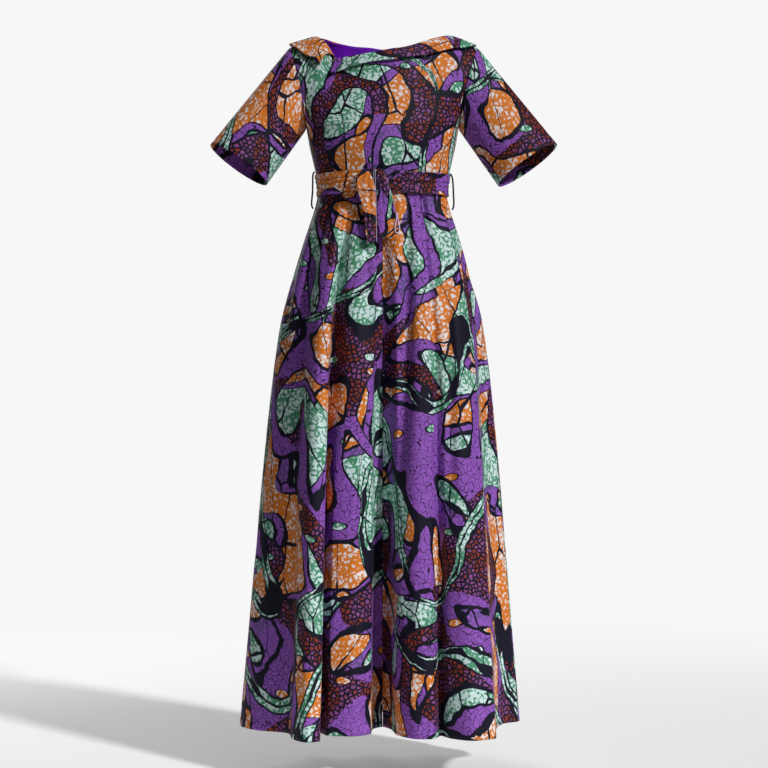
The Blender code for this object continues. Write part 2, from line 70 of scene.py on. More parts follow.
body = {
    # height, half width, depth in front, depth behind
    "sections": metres([
        (-168, 155, 118, 98), (-206, 148.5, 117, 94), (-240, 140.5, 108, 90), (-270, 134, 100, 87),
        (-290, 130.5, 97, 86), (-312, 134, 99, 90), (-394, 159, 117, 116), (-475, 183, 134, 140),
        (-557, 205, 148, 158), (-639, 217.5, 157, 168), (-720, 227, 164, 175),
        (-883, 243, 172, 183), (-1047, 257, 179, 189), (-1210, 271, 185, 194),
        (-1380, 286, 190, 198)]),
    "fullness": 0.9,
    "underarm": -0.168,
    "waist": -0.285,
    "foldsStart": -0.306,
    "hem": -1.38,
    "foldGrowth": 0.8,
    "armholeBow": 0.052,
    "neckShare": 0.72,
    "notchShare": -0.504,
    "overShoulder": (0.35, 0.72),
    "shoulderSlant": 1.6,
    "normalStep": 0.004,
    # share of the half width, x, y, z along the shoulder seam and neckline
    "frontEdge": metres([
        (-1, -190, 0, -2), (-0.72, -137, 0, 16), (-0.61, -121, -26, 4), (-0.504, -96, -60, -37),
        (-0.24, -47, -81, -29), (0, 0, -88, -21), (0.2, 36, -84, -15), (0.36, 62, -72, -8),
        (0.5, 88, -54, 1), (0.62, 114, -29, 11), (0.72, 137, 0, 18), (1, 194, 0, -2)], 0),
    "backEdge": metres([
        (-1, -190, 0, -2), (-0.72, -137, 0, 16), (-0.6, -121, 22, 15), (-0.48, -98, 45, 11),
        (-0.3, -62, 68, 6), (-0.12, -24, 80, 4.5), (0, 0, 83, 1.5), (0.12, 24, 80, 4.5),
        (0.3, 62, 68, 6), (0.48, 98, 45, 11), (0.6, 121, 22, 16), (0.72, 137, 0, 18),
        (1, 194, 0, -2)], 0),
}


def curve(table, keys):
    # a smooth curve through a table's rows, read at the keys
    marks, values = table[:, 0], table[:, 1:]
    slopes = np.gradient(values, marks, axis=0)
    way = np.sign(marks[-1] - marks[0])
    keys = np.asarray(keys, float)
    row = np.clip(np.searchsorted(marks * way, keys * way) - 1, 0, len(marks) - 2)
    span = (marks[row + 1] - marks[row])[..., None]
    t = (keys - marks[row])[..., None] / span
    return cubic(t, values[row], values[row + 1], span * slopes[row], span * slopes[row + 1])


def ease(value, low, high):
    t = np.clip((value - low) / (high - low), 0, 1)
    return t * t * (3 - 2 * t)


def ringPoint(z, degrees, grow=0.0):
    # a point of the plain body, by height and angle from the centre front
    z, degrees = np.broadcast_arrays(np.asarray(z, float), np.asarray(degrees, float))
    width, front, back = np.moveaxis(curve(body["sections"], z) + grow, -1, 0)
    turn = np.radians(degrees)
    across = np.cos(turn)
    y = -np.sign(across) * np.where(across > 0, front, back) * np.abs(across) ** body["fullness"]
    return np.stack([width * np.sin(turn), y, z], axis=-1)


def upperEdge(side, share):
    table = body["frontEdge"] if side == "front" else body["backEdge"]
    share = np.asarray(share, float)
    neck, notch = body["neckShare"], body["notchShare"]
    found = np.zeros(share.shape + (3,))
    for low, high in ((-1.0, -neck), (-neck, notch), (notch, neck), (neck, 1.0)):
        rows = table[(table[:, 0] >= low - 1e-6) & (table[:, 0] <= high + 1e-6)]
        inside = (share >= low - 1e-9) & (share <= high + 1e-9)
        found[inside] = curve(rows, share[inside])
    return found


def chestPoint(side, share, height):
    # the bodice above the underarm: height goes from 0 there to 1 at the upper edge
    share, height = np.broadcast_arrays(np.asarray(share, float), np.asarray(height, float))
    base = ringPoint(np.full(share.shape, body["underarm"]),
                     share * 90 if side == "front" else 180 - share * 90)
    top = upperEdge(side, share)
    shoulder = ease(np.abs(share), *body["overShoulder"])
    over = 1 - np.sqrt(np.clip(1 - height**2, 0, None))
    rise = np.stack([(1 - shoulder) * height + shoulder * height ** body["shoulderSlant"],
                     (1 - shoulder) * height + shoulder * over, height], axis=-1)
    bow = body["armholeBow"] * np.abs(share) ** 3 * 2 * np.sqrt(height * (1 - height))
    moved = np.zeros(share.shape + (3,))
    moved[..., 1] = -bow if side == "front" else bow
    return base + (top - base) * rise + moved


def chestNormal(side, share, height):
    step = body["normalStep"]
    share = np.clip(share, -1 + step, 1 - step)
    height = np.clip(height, step, 1 - step)
    across = chestPoint(side, share + step, height) - chestPoint(side, share - step, height)
    up = chestPoint(side, share, height + step) - chestPoint(side, share, height - step)
    return unit(np.cross(across, up) if side == "front" else np.cross(up, across))


# tools for cloth

def clothNormals(places, wrap, centre):
    # outward normals of a grid of places; centre is a point, or a place per row, inside it
    if wrap:
        ring = places[:, :-1]
        across = np.roll(ring, -1, axis=1) - np.roll(ring, 1, axis=1)
        across = np.concatenate([across, across[:, :1]], axis=1)
    else:
        across = np.gradient(places, axis=1)
    normals = np.cross(across, np.gradient(places, axis=0))
    normals /= np.maximum(np.linalg.norm(normals, axis=2, keepdims=True), 1e-12)
    if (normals * (places - centre)).sum() < 0:
        normals = -normals
    return normals


def clothMeasure(places):
    # where each place lies on the flat cloth: along its row from the middle, and down the rows
    u = distances(places, 1)
    v = distances(places).mean(axis=1)
    return u - u[:, -1:] / 2, np.repeat(v[:, None], places.shape[1], axis=1)


creaseForm = {
    "bend": 0.12, "waves": 5, "start": 40,  # how it winds: share of the width, and its phase
    "ridge": 0.35, "ridgeAt": 1.7, "ridgeWidth": 0.8,  # the cloth pushed up beside it
}


def creaseDepth(u, v, creases):
    # creases: u, v of the middle, length, width, angle from the length of the cloth, depth
    c = creaseForm
    depth = np.zeros(u.shape)
    for cu, cv, length, width, angle, deep in creases:
        turn = math.radians(angle)
        along = (u - cu) * math.sin(turn) + (v - cv) * math.cos(turn)
        bend = c["bend"] * width * np.sin(along / length * c["waves"] + cu * c["start"])
        aside = (u - cu) * math.cos(turn) - (v - cv) * math.sin(turn) + bend
        fade = (1 - np.clip(np.abs(along) / (length / 2), 0, 1) ** 2) ** 2
        ridge = bell(np.abs(aside) - c["ridgeAt"] * width, c["ridgeWidth"] * width)
        depth += deep * fade * (c["ridge"] * ridge - bell(aside, width))
    return depth


def seamDip(places, edges, depth=0.0011, reach=0.0032):
    # cloth turns in at a seam; edges names the sides of the grid that are sewn
    across, down = distances(places, 1), distances(places)
    away = {"left": across, "right": across[:, -1:] - across, "first": down}
    return -depth * np.max([bell(away[edge], reach) for edge in edges], axis=0)


def placed(name, data):
    # a new object in the scene
    made = bpy.data.objects.new(name, data)
    bpy.context.scene.collection.objects.link(made)
    return made


def shaped(name, bm, look):
    # the object that a bmesh makes, in its material
    mesh = bpy.data.meshes.new(name)
    bm.to_mesh(mesh)
    bm.free()
    mesh.shade_smooth()
    mesh.materials.append(look)
    return placed(name, mesh)


def clothPiece(name, node, places, layout, thick, centre, flat=None, wrap=False, look=None,
               slotName="printed_cotton"):
    # a thin shell on a grid of places, laid on the cloth by a turn and a shift; centre is inside it
    rows, columns = places.shape[:2]
    bm = bmesh.new()
    bmesh.ops.create_grid(bm, x_segments=columns - 1, y_segments=rows - 1, size=1)
    for vert, place in zip(bm.verts, places.reshape(-1, 3)):
        vert.co = place
    mapped = np.stack(layOn(*(flat or clothMeasure(places)), *layout), axis=-1).reshape(-1, 2)
    layer = bm.loops.layers.uv.new("cloth")  # in metres
    for face in bm.faces:
        for loop in face.loops:
            loop[layer].uv = mapped[loop.vert.index]
    if wrap:
        bmesh.ops.remove_doubles(bm, verts=bm.verts, dist=1e-6)
    bm.normal_update()
    middle = Vector(centre)
    if sum(face.normal.dot(face.calc_center_median() - middle) for face in bm.faces) < 0:
        bmesh.ops.reverse_faces(bm, faces=bm.faces)
    piece = shaped(name, bm, look or printed)
    wall = piece.modifiers.new("thickness", "SOLIDIFY")
    wall.thickness = thick
    wall.offset = -1
    wall.use_even_offset = False
    return dressed(piece, slotName, node)


def layOn(u, v, turn, shift):
    # the piece's place on the printed cloth
    angle = math.radians(turn)
    return (u * math.cos(angle) - v * math.sin(angle) + shift[0],
            u * math.sin(angle) + v * math.cos(angle) + shift[1])


def dressed(piece, slotName, *nodes):
    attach(piece, "root")
    if nodes:
        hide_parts(*nodes)
    return piece


# materials

class Wire:
    # one socket of a material, with the operators that are used on it
    def __init__(self, look, socket):
        self.look, self.socket = look, socket

    def maths(self, operation, *values):
        return self.look.add("ShaderNodeMath", {"operation": operation}, dict(enumerate(values)))

    def other(self, name):
        return Wire(self.look, self.socket.node.outputs[name])

    def __add__(self, value):
        return self.maths("ADD", self, value)

    def __sub__(self, value):
        return self.maths("SUBTRACT", self, value)

    def __rsub__(self, value):
        return self.maths("SUBTRACT", value, self)

    def __mul__(self, value):
        return self.maths("MULTIPLY", self, value)

    def __lt__(self, value):
        return self.maths("LESS_THAN", self, value)

    def __gt__(self, value):
        return self.maths("GREATER_THAN", self, value)

    def __abs__(self):
        return self.maths("ABSOLUTE", self)

    __radd__, __rmul__ = __add__, __mul__


class Look:
    # a Principled material whose nodes are all made by one method
    def __init__(self, name, roughness, sheen=0.0):
        self.material = bpy.data.materials.new(name)
        self.material.use_nodes = True
        self.tree = self.material.node_tree
        self.shader = self.tree.nodes["Principled BSDF"]
        self.shader.inputs["Roughness"].default_value = roughness
        self.shader.inputs["Sheen Weight"].default_value = sheen
        self.shader.inputs["Sheen Roughness"].default_value = 0.4
        self.shader.inputs["Specular IOR Level"].default_value = 0.14

    def add(self, kind, settings=None, values=None, output=0):
        node = self.tree.nodes.new(kind)
        for key, value in (settings or {}).items():
            setattr(node, key, value)
        for key, value in (values or {}).items():
            if isinstance(value, Wire):
                self.tree.links.new(value.socket, node.inputs[key])
            else:
                node.inputs[key].default_value = value
        return Wire(self, node.outputs[output])

    def feed(self, name, value):
        self.tree.links.new(value.socket, self.shader.inputs[name])

    def mix(self, factor, first, second):
        values = {0: factor, 6: first, 7: second}
        return self.add("ShaderNodeMix", {"data_type": "RGBA"}, values, output=2)

    def noise(self, where, scale, detail=0.0, output=0, distortion=0.0):
        values = {"Vector": where, "Scale": scale, "Detail": detail, "Distortion": distortion}
        return self.add("ShaderNodeTexNoise", {"noise_dimensions": "2D"}, values, output)

    def cells(self, where, scale, feature="F1", output=0, randomness=1.0):
        settings = {"voronoi_dimensions": "2D", "feature": feature}
        values = {"Vector": where, "Scale": scale, "Randomness": randomness}
        return self.add("ShaderNodeTexVoronoi", settings, values, output)

    def cellPick(self, where, scale, randomness=1.0):
        # three random shares for each cell
        colour = self.cells(where, scale, output="Color", randomness=randomness)
        return self.add("ShaderNodeSeparateColor", values={0: colour})

    def between(self, value, low, high):
        settings = {"interpolation_type": "SMOOTHSTEP"}
        return self.add("ShaderNodeMapRange", settings, {"Value": value, 1: low, 2: high})

    def patches(self, where, scale, low, high, detail=0.0):
        # soft patches: 0 where a noise is below the low level, 1 where it is above the high one
        return self.between(self.noise(where, scale, detail), low, high)

    def shifted(self, where, colour, reach):
        # moves a place by a noise colour, up to half of reach each way
        centred = self.add("ShaderNodeVectorMath", {"operation": "SUBTRACT"},
                           {0: colour, 1: (0.5, 0.5, 0.5)})
        scaled = self.add("ShaderNodeVectorMath", {"operation": "SCALE"},
                          {0: centred, "Scale": reach})
        return self.add("ShaderNodeVectorMath", {"operation": "ADD"}, {0: where, 1: scaled})

    def turned(self, where, degrees, stretch=(1, 1), shift=(0, 0)):
        return self.add("ShaderNodeMapping", {"vector_type": "POINT"}, {
            "Vector": where, "Location": (*shift, 0),
            "Rotation": (0, 0, math.radians(degrees)), "Scale": (*stretch, 1),
        })


printCut = {
    # dye colours, linear
    "ink": (0.008, 0.0075, 0.019, 1), "purple": (0.285, 0.098, 0.49, 1),
    "slate": (0.07, 0.072, 0.165, 1), "cream": (0.8, 0.74, 0.74, 1),
    "orange": (0.68, 0.19, 0.018, 1), "mint": (0.62, 0.79, 0.78, 1),
    "green": (0.075, 0.29, 0.165, 1), "rust": (0.275, 0.042, 0.021, 1),
    "mauve": (0.27, 0.078, 0.26, 1),
    # how unsteadily the motifs are drawn: cells per metre, and reach in metres
    "sway": (5.5, 0.115), "shake": (48, 0.0065),
    # the ground: cells per metre, the levels that part mint, purple and orange, and the outlines
    "ground": 7.6, "mintBelow": 0.434, "orangeAbove": 0.546, "outline": 0.013, "heavier": 0.036,
    # patches: cells per metre, low and high level
    "brush": (13, 0.36, 0.7), "veil": (21, 0.4, 0.66), "blot": (150, 0.34, 0.66),
    "tint": (16, 0.44, 0.56), "soot": (90, 0.42, 0.75), "dye": (90, 0.2, 0.8),
    "flood": (30, 0.34, 0.68),
    # the web of dye between pale cells: half width where flooded, its blots, its soft edge
    "web": 0.34, "webBlot": 0.26, "webInner": 0.6, "webSoft": 0.14,
    # cells per metre, then half widths, each as a share of the cell or of the noise
    "ribbon": (5.8, 0.066, 0.088), "river": (3.5, 0.013, 0.03, 0.04),
    "pods": (9.5, 0.25, 0.31), "seeds": (19, 0.16, 0.21), "veins": (14.0, 0.017),
    "dark": (4.3, 0.765),  # cells per metre, and the level above which the ground is dark
    # cells per metre
    "kinds": 5.2, "curls": 92.88, "crackle": 88, "slateWeb": 79.2, "stones": 108, "dots": 130,
    # random share above which a cell holds a motif, and the dots' least size and its spread
    "podsAbove": 0.4, "seedsAbove": 0.78, "dotsAbove": 0.35, "dotSize": (0.17, 0.16),
}


def crackle(look, where, ground, web, flooded, least):
    # pale cells in a web of dye that floods them in places
    p = printCut
    edge = look.cells(where, p["crackle"], "DISTANCE_TO_EDGE")
    scale, low, high = p["flood"]
    heavy = look.patches(where, scale, low - flooded, high - flooded, 1.0)
    blot = look.patches(where, *p["blot"], 1.0)
    reach = least + p["web"] * heavy
    edge = edge + p["webBlot"] * blot
    clear = look.between(edge, reach * p["webInner"], reach + p["webSoft"])
    return look.mix(1 - clear, ground, web)


def stones(look, where, joint=0.15, soft=0.07):
    # rust and mauve stones with dark joints
    p = printCut
    pick = look.cellPick(where, p["stones"])
    edge = look.cells(where, p["stones"], "DISTANCE_TO_EDGE")
    tint = look.patches(where, *p["tint"])
    colour = look.mix(look.between(pick * 0.6 + tint * 0.4, 0.4, 0.6), p["rust"], p["mauve"])
    colour = look.mix(look.patches(where, *p["soot"], 1.0) * 0.55, colour, p["ink"])
    return look.mix(look.between(edge, joint, joint + soft), p["ink"], colour)


def waxPrint():
    p = printCut
    look = Look("waxPrint", 0.6, 0.03)
    cloth = look.add("ShaderNodeUVMap", {"uv_map": "cloth"})
    shake = look.noise(cloth, p["shake"][0], 1.0, output="Color")
    sway = look.noise(cloth, p["sway"][0], 0.6, output="Color")
    hand = look.shifted(cloth, shake, p["shake"][1])
    drawn = look.shifted(hand, sway, p["sway"][1])
    brush = look.patches(cloth, *p["brush"])  # how heavily lines are inked

    orange = crackle(look, hand, p["cream"], p["orange"], 0.06, 0.22)
    mint = crackle(look, look.turned(hand, 0, shift=(3.1, 1.7)), p["mint"], p["green"], -0.02,
                   0.15)
    rust = stones(look, hand)
    veins = look.cells(look.turned(hand, 24, (1, 0.5)), p["veins"][0], "DISTANCE_TO_EDGE")
    thin = veins < p["veins"][1] * (0.6 + 1.2 * brush)

    # purple, with small curling lines or with a slate web
    kind = look.noise(look.turned(drawn, 0, shift=(0.7, 2.9)), p["kinds"])
    curlAt = look.shifted(hand, look.noise(hand, 60, output="Color"), 0.018)
    curl = look.cells(curlAt, p["curls"], "DISTANCE_TO_EDGE")
    curls = look.mix(curl < 0.05, p["purple"], p["ink"])
    webAt = look.turned(hand, 0, shift=(5.3, 4.7))
    edge = look.cells(webAt, p["slateWeb"], "DISTANCE_TO_EDGE")
    veil = look.patches(hand, *p["veil"], 1.0)
    slate = 1 - look.between(edge, 0.02, 0.05 + 0.34 * veil)
    webbed = look.mix(slate * 0.8, p["purple"], p["slate"])
    purple = look.mix(kind > 0.5, curls, webbed)
    purple = look.mix(abs(kind - 0.5) < 0.007, purple, p["ink"])

    # the ground
    lie = look.noise(look.turned(drawn, 32, (0.72, 1.15)), p["ground"], 0.3)
    weight = p["outline"] + p["heavier"] * brush
    isOrange, isMint = lie > p["orangeAbove"], lie < p["mintBelow"]
    isPale = isOrange + isMint
    fill = look.mix(isMint, look.mix(isOrange, purple, orange), mint)
    fill = look.mix(thin * (isPale + (kind > 0.5)), fill, p["ink"])
    for level in (p["orangeAbove"], p["mintBelow"]):
        fill = look.mix(abs(lie - level) < weight * 0.5, fill, p["ink"])

    # pods with an inked rim, and small seeds
    podAt = look.turned(look.shifted(hand, sway, 0.05), -28, (1.25, 0.74), (0.31, 0.17))
    pod = look.cells(podAt, p["pods"][0], randomness=0.8)
    podPick = look.cellPick(podAt, p["pods"][0], 0.8)
    chosen = (podPick > p["podsAbove"]) * (1 - isPale)
    podFill = look.mix(podPick.other("Blue") > 0.5, mint, webbed)
    podFill = look.mix(podPick.other("Green") > 0.55, orange, podFill)
    podFill = look.mix(thin, podFill, p["ink"])
    fill = look.mix(chosen * (pod < p["pods"][2]), fill, p["ink"])
    fill = look.mix(chosen * (pod < p["pods"][1]), fill, podFill)

    # ribbons of stones
    ribbonAt = look.turned(drawn, 55, (1, 0.72), (1.9, 0.4))
    run = abs(look.noise(ribbonAt, p["ribbon"][0], distortion=0.35) - 0.5)
    fill = look.mix(run < p["ribbon"][2], fill, p["ink"])
    fill = look.mix(run < p["ribbon"][1], fill, look.mix(kind > 0.47, rust, curls))
    seedAt = look.turned(hand, 12, (0.62, 1.3), (0.9, 0.2))
    seed = look.cells(seedAt, p["seeds"][0], randomness=0.9)
    seedPick = look.cellPick(seedAt, p["seeds"][0], 0.9)
    onRibbon = (run < p["ribbon"][1]) * (seedPick > p["seedsAbove"])
    seedFill = look.mix(seedPick.other("Green") > 0.5, orange, mint)
    fill = look.mix(onRibbon * (seed < p["seeds"][2]), fill, p["ink"])
    fill = look.mix(onRibbon * (seed < p["seeds"][1]), fill, seedFill)

    # dark stretches with small dots
    dark = look.noise(look.turned(drawn, 70, (1, 0.6), (4.4, 2.6)), p["dark"][0], distortion=0.4)
    dotPick = look.cellPick(hand, p["dots"])
    least, spread = p["dotSize"]
    dots = look.cells(hand, p["dots"]) < least + spread * dotPick
    dots = dots * (dotPick.other("Green") > p["dotsAbove"])
    dotFill = look.mix(dotPick.other("Blue") > 0.5, p["rust"], p["mauve"])
    fill = look.mix(dark > p["dark"][1], fill, look.mix(dots, p["ink"], dotFill))

    # rivers of ink with a pale bank on each side
    flowAt = look.turned(drawn, -38, (1, 0.62))
    flow = abs(look.noise(flowAt, p["river"][0], distortion=0.6) - 0.5)
    fill = look.mix(flow < p["river"][3], fill, p["ink"])
    fill = look.mix(flow < p["river"][2], fill, look.mix(thin, mint, p["ink"]))
    fill = look.mix(flow < p["river"][1] * (0.4 + 2.2 * brush), fill, p["ink"])

    # slightly uneven dye on the cloth
    dye = look.patches(cloth, *p["dye"], 2.0)
    tone = look.mix(dye, (0.9, 0.9, 0.9, 1), (1.05, 1.05, 1.05, 1))
    dyed = look.add("ShaderNodeMix", {"data_type": "RGBA", "blend_type": "MULTIPLY"},
                    {0: 1.0, 6: fill, 7: tone}, output=2)
    look.feed("Base Color", dyed)
    look.feed("Roughness", 0.56 + 0.12 * dye)
    weave(look, cloth)
    return look.material


def weave(look, cloth, pitch=0.0006, strength=0.2):
    # warp and weft, with thicker threads here and there
    warp, weft = (look.add("ShaderNodeTexWave", {"wave_type": "BANDS"},
                           {"Vector": look.turned(cloth, turn), "Scale": 0.314 / pitch}, output=1)
                  for turn in (0, 90))
    height = warp.maths("MAXIMUM", warp, weft) * 0.6 + look.noise(cloth, 260, 2.0) * 0.6
    look.feed("Normal", look.add("ShaderNodeBump", {}, {
        "Height": height, "Strength": strength, "Distance": 0.0003}))


def plainCotton(name, colour, lighter):
    look = Look(name, 0.66, 0.12)
    cloth = look.add("ShaderNodeUVMap", {"uv_map": "cloth"})
    tone = look.patches(cloth, 45, 0.3, 0.72, 3.0)
    look.feed("Base Color", look.mix(tone, colour, lighter))
    look.feed("Roughness", 0.6 + 0.12 * tone)
    weave(look, cloth)
    return look.material


def threadLook(name, colour, lighter):
    # twisted thread: slanted plies along the piece
    look = Look(name, 0.58)
    place = look.add("ShaderNodeTexCoord", output="Object")
    ply = look.add("ShaderNodeTexWave", {"wave_type": "BANDS", "bands_direction": "DIAGONAL"},
                   {"Vector": place, "Scale": 260, "Distortion": 0.6}, output=1)
    look.feed("Base Color", look.mix(ply, colour, lighter))
    look.feed("Normal", look.add("ShaderNodeBump", {}, {"Height": ply, "Strength": 0.5,
                                                        "Distance": 0.0002}))
    return look.material


printed = waxPrint()
violet = plainCotton("violetCotton", (0.105, 0.0006, 0.34, 1), (0.135, 0.001, 0.41, 1))
blackThread = threadLook("blackThread", (0.003, 0.003, 0.004, 1), (0.012, 0.012, 0.014, 1))
lilacThread = threadLook("lilacThread", (0.5, 0.34, 0.72, 1), (0.86, 0.78, 0.93, 1))
navyThread = threadLook("navyThread", (0.01, 0.01, 0.024, 1), (0.03, 0.03, 0.06, 1))
print("stage: materials ready")


# bodice

bodiceCut = {
    "columns": 140, "lowRows": 34, "highRows": 64, "thick": 0.0009, "centre": (0, 0, -0.15),
    # u, v, length, width, angle, depth; u from the middle, v up from the waist
    "frontCreases": metres([
        (-118, 60, 85, 4.5, -38, 2.4), (-98, 36, 70, 3.8, -52, 1.9), (112, 66, 100, 5, 34, 2.6),
        (92, 34, 64, 3.6, 55, 1.8), (-150, 122, 75, 5, -62, 2.6), (152, 118, 80, 5.2, 60, 2.7),
        (-30, 18, 52, 3.4, 8, 1.4), (46, 20, 58, 3.6, -12, 1.5), (-176, 175, 70, 4.5, 22, 2),
        (178, 178, 66, 4.5, -24, 2.1), (-64, 190, 90, 7, 68, 1.2), (30, 150, 120, 9, 80, 1)], 4),
    "backCreases": metres([
        (-30, 55, 80, 5, 30, 2.2), (22, 40, 60, 4, -34, 1.8), (-50, 110, 90, 5.5, 58, 2),
        (40, 170, 85, 6, -20, 1.8), (0, 205, 70, 6, 74, 1.2)], 4),
    "backLeft": ((-1, 1, 0.9, 1, -1, 1), (0, 0.012, 0, 0, 6, 0)),  # factors and shifts of them
    "layout": {"bodiceFront": (-5, (4.39, 1.66)), "bodiceBackLeft": (-5, (2.1, 0.35)),
               "bodiceBackRight": (4, (1.62, 2.45))},
}


def bodicePlaces(side, low, high, columns):
    shares = np.linspace(low, high, columns)
    turn = shares * 90 if side == "front" else 180 - shares * 90
    heights = np.linspace(body["waist"], body["underarm"], bodiceCut["lowRows"] + 1)[:-1]
    lowPart = ringPoint(heights[:, None], turn[None, :])
    t = np.linspace(0, 1, bodiceCut["highRows"] + 1)
    highPart = chestPoint(side, shares[None, :], ((1 - np.cos(math.pi * t)) / 2)[:, None])
    return np.concatenate([lowPart, highPart])


def bodicePiece(name, node, side, low, high, creases):
    b = bodiceCut
    places = bodicePlaces(side, low, high, int(b["columns"] * (high - low) / 2))
    normals = clothNormals(places, False, np.array(b["centre"]))
    u, v = clothMeasure(places)
    lift = creaseDepth(u, v, creases) + seamDip(places, ("left", "right", "first"))
    places = places + normals * lift[..., None]
    piece = clothPiece(name, node, places, b["layout"][name], b["thick"], b["centre"], (u, v))


rightCreases = bodiceCut["backCreases"]
leftCreases = rightCreases * bodiceCut["backLeft"][0] + bodiceCut["backLeft"][1]
bodicePiece("bodiceFront", "bodice_front", "front", -1, 1, bodiceCut["frontCreases"])
bodicePiece("bodiceBackRight", "bodice_back_right", "back", -1, 0, rightCreases)
bodicePiece("bodiceBackLeft", "bodice_back_left", "back", 0, 1, leftCreases)
print("stage: bodice made")


# sleeves

sleeveCut = {
    "rows": 70, "halfRing": 56, "thick": 0.0009, "axis": (0.565, -0.2, -0.807), "halfDepth": 0.055,
    "cuffs": {-1: ((-0.2915, -0.03, -0.2423), 0.07), 1: ((0.294, -0.03, -0.2435), 0.073)},
    "hemAt": 0.02, "hemDepth": 0.0005, "hemReach": 0.0016,
    "creases": {
        -1: metres([
            (-155, 40, 75, 5, 30, 2.6), (160, 50, 85, 5.5, -24, 2.8), (-128, 85, 60, 4.5, 48, 1.8),
            (120, 30, 50, 4, -44, 1.8), (-40, 60, 90, 8, 12, 1), (60, 100, 80, 7, -8, 1)], 4),
        1: metres([
            (150, 45, 80, 5.2, -28, 2.7), (-158, 46, 78, 5, 26, 2.6), (124, 92, 55, 4.4, -50, 1.7),
            (-116, 34, 58, 4.2, 40, 1.9), (44, 70, 96, 8, -14, 1.1),
            (-70, 108, 74, 6.8, 10, 1)], 4),
    },
    "layout": {-1: (-168, (4.28, 3.05)), 1: (-40, (5.83, 1.43))},
}


def armholeRing(sign, half):
    t = np.linspace(0, 1, half + 1)
    heights = (1 - np.cos(math.pi * t)) / 2
    front = chestPoint("front", np.full(half + 1, float(sign)), heights)
    back = chestPoint("back", np.full(half + 1, float(sign)), heights[::-1])
    return np.concatenate([front, back[1:]])


def cuffRing(sign, count):
    centre, halfWidth = sleeveCut["cuffs"][sign]
    axis = unit(np.array(sleeveCut["axis"])) * (sign, 1, 1)
    forward = np.array((0.0, -1.0, 0.0))
    forward = unit(forward - axis * forward.dot(axis))
    low = unit(np.cross(axis, forward)) * sign
    turn = np.linspace(0, 2 * math.pi, count)[:, None]
    return (np.array(centre) + low * halfWidth * np.cos(turn)
            + forward * sleeveCut["halfDepth"] * np.sin(turn))


def sleevePiece(name, node, sign):
    s = sleeveCut
    armhole = armholeRing(sign, s["halfRing"])
    cuff = cuffRing(sign, len(armhole))
    step = np.linspace(0, 1, s["rows"] + 1)[:, None, None]
    places = armhole[None] * (1 - step) + cuff[None] * step
    middle = places[:, :-1].mean(axis=1)
    normals = clothNormals(places, True, middle[:, None, :])
    u, v = clothMeasure(places)
    lift = creaseDepth(u, v, s["creases"][sign]) + seamDip(places, ("first",))
    lift -= s["hemDepth"] * bell(v[-1:] - v - s["hemAt"], s["hemReach"])
    lift[:, -1] = lift[:, 0] = (lift[:, -1] + lift[:, 0]) / 2
    places = places + normals * lift[..., None]
    piece = clothPiece(name, node, places, s["layout"][sign], s["thick"], middle.mean(axis=0),
                       (u, v), wrap=True)
    return places


sleeves = {"Right": sleevePiece("sleeveRight", "sleeve_right", -1),
           "Left": sleevePiece("sleeveLeft", "sleeve_left", 1)}
print("stage: sleeves made")


# skirt

